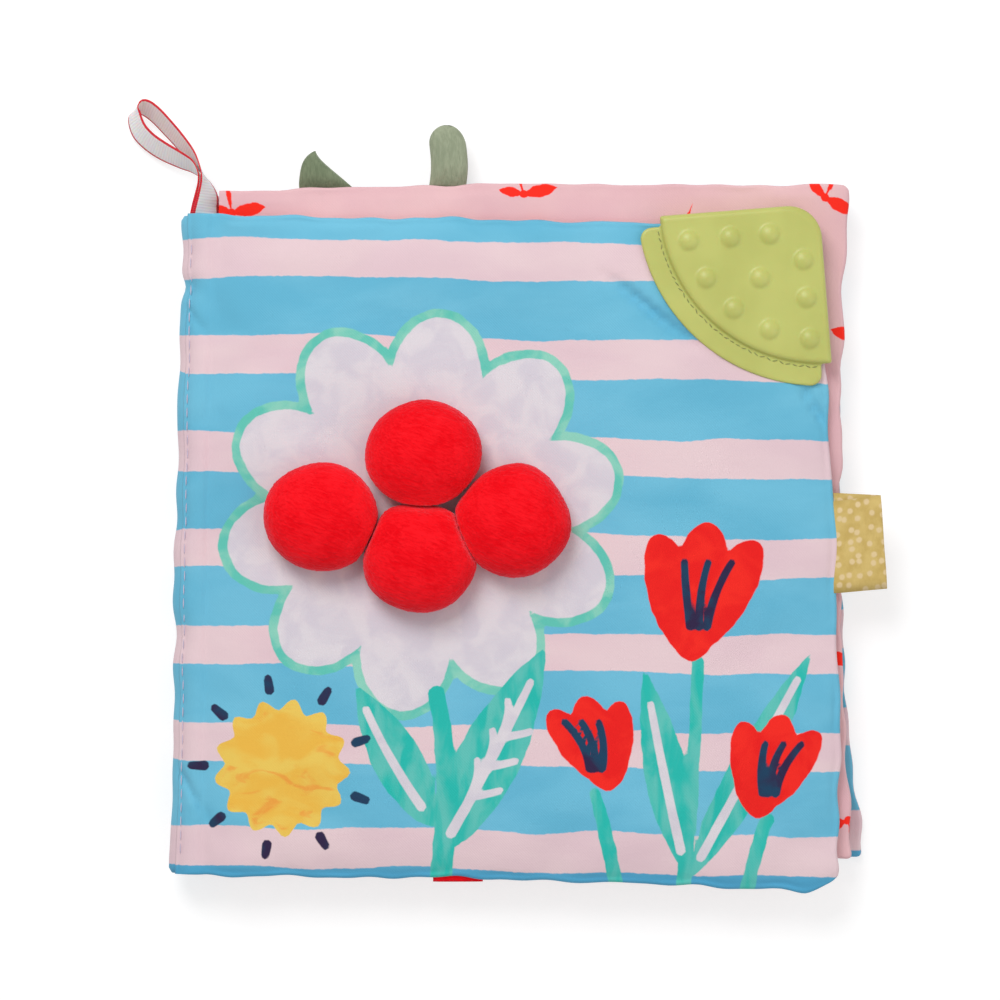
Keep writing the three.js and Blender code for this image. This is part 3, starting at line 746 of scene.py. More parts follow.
def almond(x, y, root, tip, width):
    """About how far a point lies outside a pointed leaf."""
    root, tip = np.array(root, float), np.array(tip, float)
    length = np.linalg.norm(tip - root)
    ahead = (tip - root) / length
    along = (x - root[0]) * ahead[0] + (y - root[1]) * ahead[1]
    aside = (y - root[1]) * ahead[0] - (x - root[0]) * ahead[1]
    half = width / 2 * np.sin(math.pi * ramp(along, length) ** 0.85) ** 0.8
    beyond = np.maximum(np.maximum(-along, along - length), 0)
    return np.hypot(np.maximum(np.abs(aside) - half, 0), beyond) + np.minimum(np.abs(aside) - half, 0)


DAISY_MIDDLE = (-25.6, 10.0)
DAISY_PETALS = 10
SUN_MIDDLE = (-66.0, -67.0)
SUN_RADIUS = 19
SUN_RAYS = 9
TULIPS = (((58, -12), 21, 0.12), ((28, -58), 15, -0.3), ((80, -64), 16, 0.25))  # middle, size, lean


def petal_shapes():
    shapes = [(disc, DAISY_MIDDLE, 30)]
    for index in range(DAISY_PETALS):
        heading = 2 * math.pi * (index + 0.35) / DAISY_PETALS
        reach = 40 + 2 * math.sin(3.1 * index)
        middle = (DAISY_MIDDLE[0] + reach * math.cos(heading), DAISY_MIDDLE[1] + reach * math.sin(heading))
        shapes.append((ellipse, middle, 19, 13.5, heading))
    return shapes


def foliage_shapes():
    shapes = [
        (stroke, (-20, -44), (-14, -70), (-19, -110), 5, 7),
        (almond, (-18, -92), (12, -30), 19),
        (almond, (-20, -84), (-44, -42), 15),
        (almond, (56, -96), (42, -36), 13),
        (almond, (57, -98), (92, -30), 12),
    ]
    for (x, y), size, lean in TULIPS:
        shapes.append((stroke, (x, y - size), (x - 8 * lean, -80), (x - 30 * lean, -110), 3.6, 4.6))
    return shapes


def vein_shapes():
    shapes = [
        (stroke, (-15, -86), (-2, -62), (8, -40), 2.8, 1.8),
        (stroke, (-24, -78), (-34, -64), (-41, -49), 2.5, 1.8),
        (stroke, (54, -90), (48, -66), (44, -46), 2.5, 1.8),
        (stroke, (60, -92), (74, -64), (88, -38), 2.5, 1.8),
    ]
    for share in (0.25, 0.45, 0.65):
        x, y = -15 + 22 * share, -86 + 45 * share
        shapes.append((stroke, (x, y), (x + 3, y + 6), (x + 2, y + 11), 2.2, 1.7))
        shapes.append((stroke, (x, y), (x + 6, y + 1), (x + 9, y + 2), 2.2, 1.7))
    return shapes


def bloom_shapes():
    shapes = []
    for (x, y), size, lean in TULIPS:
        up = math.pi / 2 - lean
        shapes.append((ellipse, (x, y), size, 0.42 * size, up))
        for side in (-1, 1):
            middle = (x + side * 0.36 * size, y - 0.05 * size)
            shapes.append((ellipse, middle, 0.9 * size, 0.36 * size, up - side * 0.42))
    return shapes


def twig_shapes():
    """The dark strokes: three in each tulip and the rays round the sun."""
    shapes = []
    for (x, y), size, lean in TULIPS:
        for side in (-1, 0, 1):
            start = (x + 0.12 * side * size, y - 0.5 * size)
            end = (x + (0.34 * side + lean) * size, y + 0.42 * size)
            shapes.append((stroke, start, (x + 0.2 * side * size, y), end, 2.3, 1.7))
    for index in range(SUN_RAYS):
        heading = 2 * math.pi * (index + 0.5) / SUN_RAYS
        outward = np.array([math.cos(heading), math.sin(heading)])
        start = np.array(SUN_MIDDLE) + (SUN_RADIUS + 4.5) * outward
        end = np.array(SUN_MIDDLE) + (SUN_RADIUS + 8) * outward
        shapes.append((stroke, start, (start + end) / 2, end, 2.6, 2.1))
    return shapes


PRINTS = {
    "petals": petal_shapes(),
    "foliage": foliage_shapes(),
    "veins": vein_shapes(),
    "sun": [(disc, SUN_MIDDLE, SUN_RADIUS, 1.7, 13)],
    "blooms": bloom_shapes(),
    "twigs": twig_shapes(),
}


# Leaves

EDGE_LINES = (0, 0.14, 0.45, 0.95, 1.7, 2.9, 4.4)  # the cloth's lines beside a seam, from its edge
CLOTH_STEP = 2.3  # and the distance between its lines elsewhere
SEAM_ROLL = 0.9  # how round the turned edge is
# A kick is whole up to its start, and fades over the reach above it
KICK_START = 12
KICK_REACH = 22
# A drawn-up corner: its width along the bottom edge and its reach upward, then the share of it by
# which the cloth beside the corner hangs down instead, and where
TUCK_WIDTH = 9.5
TUCK_REACH = 9
HANG_SHARE = 0.25
HANG_PLACE = 10
HANG_WIDTH = 8
HANG_REACH = 12


def grid_lines(length):
    """Distances across a leaf: close together at its edges and even between them."""
    inner = EDGE_LINES[-1]
    count = round((length - 2 * inner) / CLOTH_STEP)
    middle = np.linspace(inner, length - inner, count + 1)[1:-1]
    near = np.array(EDGE_LINES)
    return np.concatenate([near, middle, (length - near)[::-1]])


def rounded_corner(first, second):
    """Puts distances from the two edges of a corner onto rings about the corner's centre."""
    across, along = CORNER_RADIUS - first, CORNER_RADIUS - second
    inside = (across > 0) & (along > 0)
    shrink = np.where(inside, np.maximum(across, along) / np.maximum(np.hypot(across, along), 1e-9), 1)
    rounded = CORNER_RADIUS - across * shrink, CORNER_RADIUS - along * shrink
    return np.where(inside, rounded[0], first), np.where(inside, rounded[1], second)


def leaf_plan(leaf, from_spine, from_bottom):
    """The place in plan of a point of a leaf, from its distances to the inner and bottom edges."""
    fore_side = from_spine > leaf.reach / 2
    top_side = from_bottom > leaf.height / 2
    to_end = np.where(top_side, leaf.height - from_bottom, from_bottom)
    corner = rounded_corner(leaf.reach - from_spine, to_end)
    across = np.where(fore_side, leaf.reach - corner[0], from_spine)
    end = np.where(fore_side, corner[1], to_end)
    up = np.where(top_side, leaf.height - end, end)
    u, v = across / leaf.reach, up / leaf.height
    x = leaf.start_x + across + leaf.flare * u * (1 - v) + leaf.fore_bow * u * hump(v)
    x = x + leaf.kick * u**4 * bell(np.maximum(up - KICK_START, 0), KICK_REACH)
    lifted = leaf.rise * u * v - leaf.drop * u * (1 - v)
    bowed = leaf.top_bow * v * hump(u) - leaf.bottom_bow * (1 - v) * hump(u)
    to_corner = leaf.reach - across
    tucked = np.clip(1 - to_corner / TUCK_WIDTH, 0, 1) ** 1.2 * np.exp(-up / TUCK_REACH)
    beside = ((to_corner - HANG_PLACE) / HANG_WIDTH) ** 2
    hung = HANG_SHARE * np.exp(-beside - up / HANG_REACH)
    return x, leaf.bottom_y + up + lifted + bowed + leaf.tuck * (tucked - hung)


def leaf_middle(leaf, from_spine):
    """Height of a leaf's middle surface at a distance from its inner edge."""
    own = leaf.level * LEAF_PITCH + LEAF_THICKNESS / 2 - SPINE_Z
    root = leaf.side * leaf.root
    return SPINE_Z + root + (own - root) * np.sin(ramp(from_spine, ROOT_SLOPE) * math.pi / 2)


# Each leaf's waves: height and wavelength, and the seed of each kind on top of the leaf's own
FORE_WAVES = ((0.4, 38, 0), (0.42, 14, 1))
END_WAVES = ((0.35, 38, 100), (0.3, 14, 101))
SWAY_WAVES = ((0.55, 42, 200),)
GROOVE_WAVES = ((0.14, 16, 600),)
WAVE_REACH = 14  # how far in an edge's waves fade, and how far from its corners they start
WAVE_START = 6
GROOVE_DEPTH = 0.3  # the stitched groove inside a turned edge
GROOVE_PLACE = 1.75
GROOVE_WIDTH = 0.75
SEAM_OPENING = 0.02  # keeps the two faces apart at the very edge
SPINE_PADDING = 0.1  # the share of its padding that a leaf keeps at the spine
STILL_BAND = 20  # the cloth sways fully from this far off the spine
SWAY_REACH = 9
SAG_REACH = 4
LIP_ANGLES = {"front_cover": math.radians(130), "back_cover": math.radians(-74)}
GROOVE_START = 8  # the groove is whole from this far off the spine
SPINE_FILLET = 1.0  # how far the cover's cloth stands off where it bends on to the spine
FILLET_REACH = 4


def waves(leaf, x, y, rows):
    return sum(height * ripples(x, y, length, leaf.seed + seed) for height, length, seed in rows)


@dataclass
class Form:
    """A leaf's two faces before its cloth puckers, and where their points lie in it."""

    lower: np.ndarray
    upper: np.ndarray
    middle: np.ndarray
    across: np.ndarray
    up: np.ndarray
    nearest: np.ndarray


def leaf_form(leaf):
    """A leaf's padded faces, with their waves and the groove beside the turned edge."""
    across, up = np.meshgrid(grid_lines(leaf.reach), grid_lines(leaf.height))
    ends = np.minimum(up, leaf.height - up)
    to_fore = leaf.reach - across
    free = np.minimum(ends, to_fore)
    x, y = leaf_plan(leaf, across, up)
    x = x + np.exp(-to_fore / WAVE_REACH) * ramp(ends, WAVE_START) * waves(leaf, up, 0, FORE_WAVES)
    y = y + np.exp(-ends / WAVE_REACH) * ramp(to_fore, WAVE_START) * waves(leaf, across, 0, END_WAVES)
    seam = SEAM_THICKNESS / 2 * quarter_round(free + SEAM_OPENING, SEAM_ROLL)
    from_spine = SPINE_PADDING + (1 - SPINE_PADDING) * smooth_step(across / PAD_SLOPE)
    pad = quarter_round(free, PAD_SLOPE) * from_spine
    depth = GROOVE_DEPTH + waves(leaf, across, up, GROOVE_WAVES)
    groove = depth * (bell(free - GROOVE_PLACE, GROOVE_WIDTH) * ramp(across, GROOVE_START))
    half = seam + (LEAF_THICKNESS - SEAM_THICKNESS) / 2 * pad - groove
    off_spine = ramp(across, STILL_BAND)
    sway = np.exp(-free / SWAY_REACH) * off_spine * waves(leaf, across, up, SWAY_WAVES)
    hanging = leaf.sag * bell(up, SAG_REACH) * off_spine
    middle = leaf_middle(leaf, across) + sway - hanging
    lower = np.stack([x, y, middle - half], axis=-1)
    upper = np.stack([x, y, middle + half], axis=-1)
    if leaf.name in LIP_ANGLES:
        outer = upper if leaf.side > 0 else lower
        outer[..., 2] += leaf.side * SPINE_FILLET * np.exp(-across / FILLET_REACH)
    return Form(lower, upper, middle, across, up, np.minimum(free, across))


# Cloth simulation: the leaves' cloth is cut a little larger than its seams, and puckers

SIM_SCALE = 2.5  # the solver suits pads about half a metre wide
SIM_FRAMES = 14
SEAM_EASE = -0.05  # the cloth beside the seam is this much longer than the seam
FIELD_EASE = -0.004
EASED_BANDS = (4, 26)  # the ease is whole up to the first of these and gone over the second
HELD_BAND = 1.2  # cloth this near its seam keeps its place
HELD_SHARES = (0.035, 0.1)  # the padding's hold on the rest, and what is added to it over a distance
HELD_BANDS = (20, 30)
STARTING_NOISE = 0.04
STILL_EDGE = 3  # cloth nearer its seam than this follows the simulation less and less
CLOTH_SETTINGS = {
    "quality": 4,
    "mass": 0.15,
    "tension_stiffness": 12,
    "compression_stiffness": 12,
    "shear_stiffness": 6,
    "bending_stiffness": 0.08,
    "air_damping": 2,
    "vertex_group_mass": "held",
    "pin_stiffness": 1.0,
    "shrink_min": FIELD_EASE,
    "shrink_max": SEAM_EASE,
    "vertex_group_shrink": "eased",
    "use_pressure": True,
    "uniform_pressure_force": 1.2,
}


def cloth_object(leaf, form):
    """A leaf as one closed pillow of cloth, held at its seam and held softly by its padding."""
    random = np.random.default_rng(leaf.seed)
    points = np.concatenate([form.lower.reshape(-1, 3), form.upper.reshape(-1, 3)])
    points[:, 2] += random.uniform(-STARTING_NOISE, STARTING_NOISE, len(points))
    mesh = bpy.data.meshes.new("cloth_" + leaf.name)
    mesh.from_pydata((points * MM * SIM_SCALE).tolist(), [], sheet_faces(*form.lower.shape[:2]))
    cloth = add_object("cloth_" + leaf.name, mesh)
    nearest = np.tile(form.nearest.ravel(), 2)
    hold = HELD_SHARES[0] + HELD_SHARES[1] * smooth_step((nearest - HELD_BANDS[0]) / HELD_BANDS[1])
    held = np.where(nearest < HELD_BAND, 1.0, hold)
    eased = smooth_step(1 - (nearest - EASED_BANDS[0]) / EASED_BANDS[1])
    for name, weights in (("held", held), ("eased", eased)):
        group = cloth.vertex_groups.new(name=name)
        for index, weight in enumerate(weights):
            group.add([index], float(weight), "REPLACE")
    settings = cloth.modifiers.new("cloth", "CLOTH").settings
    for name, value in CLOTH_SETTINGS.items():
        setattr(settings, name, value)
    settings.effector_weights.gravity = 0
    return cloth


def puckered(forms):
    """The leaves' faces after the cloth has settled."""
    scene = bpy.context.scene
    cloths = [cloth_object(leaf, form) for leaf, form in zip(LEAVES, forms)]
    for step in range(1, SIM_FRAMES + 1):
        scene.frame_set(step)
    settled = []
    for cloth, form in zip(cloths, forms):
        mesh = evaluated_copy(cloth)
        points = np.empty(len(mesh.vertices) * 3)
        mesh.vertices.foreach_get("co", points)
        settled.append(points.reshape(2, *form.lower.shape) / MM / SIM_SCALE)
        bpy.data.meshes.remove(mesh)
        bpy.data.objects.remove(cloth)
    scene.frame_set(1)
    return settled


CREASE_END = 0.3  # the share of its length over which a crease deepens at each end


def crease(x, y, start, end, depth, width):
    """A soft fold line between two places."""
    px, py = start
    qx, qy = end
    length = math.hypot(qx - px, qy - py)
    along = ((x - px) * (qx - px) + (y - py) * (qy - py)) / length
    aside = ((y - py) * (qx - px) - (x - px) * (qy - py)) / length
    run_in = CREASE_END * length
    ends = smooth_step(along / run_in) * smooth_step((length - along) / run_in)
    return -depth * ends * bell(aside, width)


# Creases of the cover: start, end, depth and width
CREASES = (
    ((25, 85), (60, 58), 2.6, 1.1),
    ((30, 80), (58, 58), 0.6, 3.0),
    ((86, 52), (97, 36), 2.1, 1.1),
    ((-99, -66), (-86, -86), 1.5, 1.1),
    ((-99, 72), (-90, 62), 0.8, 1.1),
    ((-98, 80), (-82, 64), 0.45, 3.5),
    ((-97, 61), (-78, 66), 0.4, 3.5),
    ((-97, 34), (-84, 41), 0.4, 3.0),
    ((70, -40), (98, -52), 0.3, 4.0),
)
CLUSTER = (-25.6, 10.4)  # the middle of the four balls
UNDER_BALLS = 34  # the cover stays flat up to this far from there
WRINKLE_BAND = 16  # and wrinkles fully this much further out
SWELL_BAND = 3  # width of the bands about the seams in which the swelling is averaged
COVER_WRINKLE = 1.4
PAGE_WRINKLE = 1.6
MOST_INWARD = 1.2
MOST_OUTWARD = 1.0
MOST_SIDEWAYS = 0.6
SQUEEZE = 0.12  # how far a leaf may swell past its own share of the stack
LEAST_ROOM = 0.1


def wrinkles(change, nearest):
    """A change of height without the even swelling that comes with distance from the seams."""
    band = np.round(nearest / SWELL_BAND).astype(int)
    count = np.maximum(np.bincount(band.ravel()), 1)
    swelling = np.bincount(band.ravel(), change.ravel()) / count
    folds = change - np.interp(nearest, SWELL_BAND * np.arange(len(swelling)), swelling)
    for axis in (0, 1, 0, 1):
        lines = np.moveaxis(folds, axis, 0)
        lines[1:-1] = lines[1:-1] / 2 + (lines[:-2] + lines[2:]) / 4
    return folds


def settle(leaf, form, moved):
    """The settled faces of a leaf, kept within the room that the leaf has in the stack."""
    near = ramp(form.nearest, STILL_EDGE)
    half = (form.upper[..., 2] - form.lower[..., 2]) / 2
    room = np.maximum(LEAF_THICKNESS / 2 + SQUEEZE - half, LEAST_ROOM)
    up = wrinkles(moved[1][..., 2] - form.upper[..., 2], form.nearest) * near
    down = wrinkles(form.lower[..., 2] - moved[0][..., 2], form.nearest) * near
    if leaf is FRONT_COVER:
        x, y = form.upper[..., 0], form.upper[..., 1]
        from_balls = np.hypot(x - CLUSTER[0], y - CLUSTER[1])
        up = COVER_WRINKLE * up * smooth_step((from_balls - UNDER_BALLS) / WRINKLE_BAND)
        up = limited(up, MOST_OUTWARD, MOST_INWARD)
        for row in CREASES:
            up = up + crease(x, y, *row) * near
    else:
        up = limited(PAGE_WRINKLE * up, room, MOST_INWARD)
    down = limited(PAGE_WRINKLE * down, room, MOST_INWARD)
    settled = []
    for face, sheet, rise in ((form.lower, moved[0], -down), (form.upper, moved[1], up)):
        sideways = np.clip(sheet[..., :2] - face[..., :2], -MOST_SIDEWAYS, MOST_SIDEWAYS) * near[..., None]
        settled.append(face + np.concatenate([sideways, rise[..., None]], axis=-1))
    settled[0][..., 2] = np.maximum(settled[0][..., 2], 0)  # the book lies on a table
    return settled


# Cloth round the spine

WRAP_STAND_OFF = 0.65
WRAP_WANDER = 0.5
PINCH_DEPTH = 1.8  # where the cloth is drawn in, and over what length
PINCH_Y = 77
PINCH_WIDTH = 3.4
STITCH_ANGLE = math.radians(116)  # of the line of stitches about the spine's axis
STITCH_DENT = 0.22
STITCH_DENT_WIDTH = 0.9
DENT_FADE = 0.4  # creases run out where the sine of the angle falls below this
LIP_COLUMNS = 12
LIP_STAND_OFF = 0.16
LIP_LANDING = 1.15  # above 1, the lip comes down on the wrap before it ends
LIP_TAPER = 0.7  # the power with which it thins towards its end
LIP_LEAST = 0.1  # how thick the lip is where it ends
HEM_HEIGHTS = (0.15, 0.04)  # of the hem's two faces over the cloth that it lies on
HEM_COLUMNS = 6  # lines of cloth that the back cover's outer panel turns over on to its inside
BACK_STRIPE_SHIFT = -7.4  # the back cover's stripes don't meet the front's


def about_spine(radius, angle, y):
    """Points at a radius and an angle about the spine's axis."""
    x = SPINE_X + radius * np.cos(angle)
    z = SPINE_Z + radius * np.sin(angle)
    return np.stack(np.broadcast_arrays(x, y, z), axis=-1)


def wrap_radius(y):
    """The spine's outer radius along its length: the cloth puffs and draws in between stitches."""
    pinch = PINCH_DEPTH * bell(y - PINCH_Y, PINCH_WIDTH)
    return SPINE_RADIUS + WRAP_STAND_OFF + WRAP_WANDER * ripples(y, 0, 19, seed=51, count=6) - pinch


def dented(radius, angle, y):
    """The radius of the cloth over the spine where the cover's creases cross its upper side."""
    x = SPINE_X + radius * np.cos(angle)
    for row in CREASES:
        radius = radius + crease(x, y, *row) * smooth_step(np.sin(angle) / DENT_FADE)
    return radius


def add_lip(sheet, end_angle):
    """More columns of cloth that carry a cover's outer panel on round the spine to an angle."""
    outer, _, place = sheet
    from_axis = outer[:, :1] - np.array([SPINE_X, 0, SPINE_Z])
    start_angle = np.arctan2(from_axis[..., 2], from_axis[..., 0])
    start_radius = np.hypot(from_axis[..., 0], from_axis[..., 2])
    y = outer[:, :1, 1]
    share = np.linspace(1, 0, LIP_COLUMNS + 1)[:-1]
    angle = start_angle + (end_angle - start_angle) * share
    landed = smooth_step(share * LIP_LANDING)
    radius = start_radius + (wrap_radius(y) + LIP_STAND_OFF - start_radius) * landed
    from_stitch = (angle - math.copysign(STITCH_ANGLE, end_angle)) * radius
    radius = dented(radius - STITCH_DENT * bell(from_stitch, STITCH_DENT_WIDTH), angle, y)
    thick = FABRIC * (1 - share) ** LIP_TAPER + LIP_LEAST
    arcs = -np.abs(angle - start_angle) * radius
    lip_place = np.stack([place[:, :1, 0] + arcs, np.broadcast_to(place[:, :1, 1], arcs.shape)], axis=-1)
    lip = about_spine(radius, angle, y), about_spine(radius - thick, angle, y), lip_place
    return [np.concatenate(pair, axis=1) for pair in zip(lip, sheet)]


def add_hem(sheet, inside_face):
    """More columns of cloth that turn the back cover's stripes over its fore edge."""
    outer, inner, place = sheet
    place = place + np.array([0, BACK_STRIPE_SHIFT])
    hem = slice(-2, -2 - HEM_COLUMNS, -1)
    over, under = [inside_face[:, hem] + np.array([0, 0, height]) for height in HEM_HEIGHTS]
    beyond = place[:, -1:] + (place[:, -1:] - place[:, hem]) * np.array([1, 0])
    return [np.concatenate(pair, axis=1) for pair in ((outer, over), (inner, under), (place, beyond))]


LEVEL_SHIFT = 240.5  # how far the sprigs' pattern moves from leaf to leaf, so that no two are alike
LOWER_SHIFT = 919
LEAST_PLY = 0.03  # how far a panel's inner side stays off the leaf's middle


def make_panel(leaf, form, faces, upper_side):
    """One sewn cotton panel of a leaf, as a closed sheet; an outer panel goes on round the spine."""
    sign = 1 if upper_side else -1
    outer = faces[1] if upper_side else faces[0]
    inner = outer.copy()
    pulled_in = sign * outer[..., 2] - FABRIC
    inner[..., 2] = sign * np.maximum(pulled_in, sign * form.middle + LEAST_PLY)
    sheet = [outer, inner, form.upper[..., :2]]
    is_outside = leaf.name in LIP_ANGLES and leaf.side == sign
    finish = "page"
    if is_outside:
        finish = "cover" if leaf is FRONT_COVER else "stripes"
        if leaf is FRONT_COVER:
            sheet = [finer(grid) for grid in sheet]
        sheet = add_lip(sheet, LIP_ANGLES[leaf.name])
        if leaf is BACK_COVER:
            sheet = add_hem(sheet, faces[1])
    outer, inner, place = sheet
    kind = "upper" if upper_side else "lower"
    low, high = (inner, outer) if upper_side else (outer, inner)
    piece = closed_sheet(f"{leaf.name}_{kind}_cloth", low, high, finish)
    across = np.tile(place[..., 0].ravel(), 2)
    along = np.tile(place[..., 1].ravel(), 2)
    shift = 0 if is_outside else LEVEL_SHIFT * leaf.level + (0 if upper_side else LOWER_SHIFT)
    store_place(piece, across + shift, along)
    if finish == "cover":
        for name, shapes in PRINTS.items():
            distances = [shape(across, along, *sizes) for shape, *sizes in shapes]
            store(piece, name, np.minimum.reduce(distances))
    dress(piece, leaf.body, [f"{leaf.name}_{kind}_panel"])


FILLING_START = 2.9  # how far the filling stays from the edges
FILM_GAP = 0.15
FILM_THICKNESS = 0.2
FILM_CREASE = 0.12
LEAST_FILLING = 0.75
PAD_GAP = 0.2
LEAST_PAD = 0.25


def at_height(face, z):
    return np.concatenate([face[..., :2], z[..., None]], axis=-1)


def make_filling(leaf, faces):
    """The crinkle film and the batting between a leaf's panels."""
    start = EDGE_LINES.index(FILLING_START)
    inside = (slice(start, -start), slice(start, -start))
    lower, upper = faces[0][inside], faces[1][inside]
    top = upper[..., 2] - FABRIC - PAD_GAP
    bottom = lower[..., 2] + FABRIC + FILM_GAP
    creases = FILM_CREASE * np.abs(ripples(lower[..., 0], lower[..., 1], 17, seed=leaf.seed + 500))
    film_z = np.minimum(bottom + creases, top - LEAST_FILLING)
    film_faces = at_height(lower, film_z), at_height(lower, film_z + FILM_THICKNESS)
    film = closed_sheet(f"{leaf.name}_crinkle_film_sheet", *film_faces, "film")
    dress(film, leaf.body, [f"{leaf.name}_crinkle_film"])
    pad_z = film_z + FILM_THICKNESS + PAD_GAP
    pad_faces = at_height(lower, pad_z), at_height(upper, np.maximum(top, pad_z + LEAST_PAD))
    pad = closed_sheet(f"{leaf.name}_batting_pad", *pad_faces, "batting")
    dress(pad, leaf.body, [f"{leaf.name}_batting"])


def make_leaves():
    forms = [leaf_form(leaf) for leaf in LEAVES]
    moved = puckered(forms)
    for leaf, form, change in zip(LEAVES, forms, moved):
        faces = settle(leaf, form, change)
        make_panel(leaf, form, faces, True)
        make_panel(leaf, form, faces, False)
        make_filling(leaf, faces)


def make_spine():
    """The cloth round the spine, as a tube that closes to a round edge at both ends."""
    ring_count, sides, past_end, end_drop, end_length = 140, 40, 1, 0.8, 1.6
    low, high = spine_low[1] - past_end, spine_high[1]
    y = np.linspace(low, high, ring_count)
    to_end = np.minimum(y - low, high - y)
    radii = (wrap_radius(y) - end_drop) + end_drop * quarter_round(to_end, end_length)
    angle = math.pi / 2 - whole_turn(sides)
    rings = about_spine(dented(radii[:, None], angle, y[:, None]), angle, y[:, None])
    wrap = join_lofts("spine_wrap_cloth", [rings], "stripes")
    points = points_of(wrap)
    around = np.arctan2(points[:, 2] - SPINE_Z, points[:, 0] - SPINE_X) * SPINE_RADIUS
    store_place(wrap, FRONT_COVER.start_x - around, points[:, 1])
    dress(wrap, "book", ["spine_wrap", "spine_seam_roll"])


def make_topstitch():
    """The line of stitches down the spine side of the cover."""
    pitch, length, radius, margin, stand_off, wander = 4.1, 3.1, 0.16, 5, 0.34, 0.03
    count = int((spine_high[1] - spine_low[1] - 2 * margin) / pitch)
    y = spine_low[1] + margin + pitch * np.arange(count)
    angle = STITCH_ANGLE + wander * ripples(y, 0, 26, seed=61, count=4)
    starts = about_spine(wrap_radius(y) + stand_off, angle, y)
    stitches = [capsule(start, start + np.array([0, length, 0]), radius) for start in starts]
    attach(join_lofts("spine_topstitch", stitches, "pale_thread"), "front_cover")


# Plush balls

BALL_RADIUS = 17.4
BALL_HEIGHT = 17
BALL_FOOT_ANGLE = math.radians(-35)
BALL_LUMPS = 0.024
BALL_PILE = 0.07
BALL_LEAN = 2.0  # how far a wall between balls leans for one rank of difference
BALL_ROUNDING = 1.1  # and how softly a ball bends on to it
NEIGHBOUR_REACH = 2.4 * BALL_RADIUS
LEAST_FACING = 0.05
BALL_LUMP_SIZE = 1.6  # in shares of the radius
BALL_SKIN = 1.4
BALL_STAND_OFF = 0.05
FOOT_LIFT = 0.6  # how far the stuffing's foot stands up, as a share of how far it is inset
PILE_BAND = 0.3  # the pile fades towards the crown, within this share of the radius
CROWN_CROWDING = 0.93  # below 1, a ball's rings lie closer together towards its crown


@dataclass
class Ball:
    """One ball, whose place is from the middle of the cluster in shares of its radius."""

    across: float
    up: float
    rank: float  # a ball of higher rank bulges over its neighbours
    flat: float  # how low it is in plan for its width
    nudge: float  # how far it is moved up


BALLS = {
    "plush_ball_top": Ball(0.03, 1.05, 1.0, flat=0.94, nudge=-0.9),
    "plush_ball_left": Ball(-1.71, -0.12, -0.2, flat=0.92, nudge=0.0),
    "plush_ball_bottom": Ball(-0.005, -0.83, -0.8, flat=0.95, nudge=0.8),
    "plush_ball_right": Ball(1.6, -0.115, 0.7, flat=0.97, nudge=-0.3),
}


def pressed(ball, reach, angle, up, inset):
    """A ball's reach from its middle, where walls between it and its neighbours flatten it."""
    for other in BALLS.values():
        away = BALL_RADIUS * np.array([other.across - ball.across, other.up - ball.up])
        apart = np.hypot(*away)
        if other is ball or apart > NEIGHBOUR_REACH:
            continue
        facing = np.cos(angle - math.atan2(away[1], away[0]))
        lean = BALL_LEAN * (ball.rank - other.rank) * np.sin(up)
        wall = (apart - GAP) / 2 - inset + lean
        limit = wall / np.maximum(facing, LEAST_FACING)
        reach = np.where(facing > LEAST_FACING, soft_min(reach, limit, BALL_ROUNDING), reach)
    return reach


def ball_rings(name, inset, sides=150, count=64, pile=BALL_PILE):
    """Rings of a stuffed ball from its sewn foot to its crown."""
    ball = BALLS[name]
    middle = np.array(CLUSTER) + BALL_RADIUS * np.array([ball.across, ball.up])
    rise = BALL_HEIGHT / (1 - math.sin(BALL_FOOT_ANGLE))
    widest = -rise * math.sin(BALL_FOOT_ANGLE)
    rise -= inset
    foot = math.asin(max(-widest / rise, -1))
    levels = foot + (math.pi / 2 - foot) * (np.arange(count) / count) ** CROWN_CROWDING
    angle, up = np.meshgrid(whole_turn(sides), levels)
    seed = 70 + list(BALLS).index(name)
    waved = ripples(np.cos(angle) * np.cos(up), np.sin(angle) * np.cos(up), BALL_LUMP_SIZE, seed)
    lumps = 1 + BALL_LUMPS * waved
    reach = pressed(ball, (BALL_RADIUS - inset) * np.cos(up) * lumps, angle, up, inset)
    fuzz = np.random.default_rng(seed).normal(0, pile, reach.shape) * ramp(np.cos(up), PILE_BAND)
    reach = np.maximum(reach + fuzz * np.cos(up), 0.05)
    x = middle[0] + reach * np.cos(angle)
    y = middle[1] + ball.nudge + ball.flat * reach * np.sin(angle)
    foot_z = COVER_TOP_Z + BALL_STAND_OFF + inset * FOOT_LIFT
    z = foot_z + widest + (rise * lumps**0.5 + fuzz) * np.sin(up)
    return np.stack([x, y, z], axis=-1)


def make_balls():
    for name in BALLS:
        skin, fibre = ball_rings(name, 0), ball_rings(name, BALL_SKIN, 40, 16, 0)
        make_stuffed(name, "plush", skin, fibre, "red", "front_cover")


# Plush tabs in the top seam of the rear page

TAB_THICKNESS = 5
TAB_ROOT_THICKNESS = 2
TAB_SKIN = 1.2
TAB_SWAY = 0.5
TAB_CROWDING = 1.6  # above 1, a tab's rings lie closer together towards its tip
TAB_SWELL_SHARE = 0.4  # the share of its length over which it thickens
TAB_LIFT = 0.3
TAB_FOLD_WIDTH = 1.3
TAB_FOLD_START = 5  # the fold is whole from this far above the seam


@dataclass
class Tab:
    """Taper is the share of its length over which a tab narrows, and power how full it stays."""

    x: float
    half: float
    lean: float
    taper: float
    power: float
    finish: str
    body: str
    hollow: float = 0  # how much its right side is hollowed, if at all
    fold: float = 0  # how deep a fold runs up its middle


TABS = {
    "plush_leaf_tab": Tab(-56, 8.4, -3.2, 1, 1.4, "olive", "leaf_tab", hollow=1.25),
    "plush_finger_tab": Tab(-19.6, 5.6, 0, 0.34, 2, "sage", "finger_tab", fold=0.7),
}


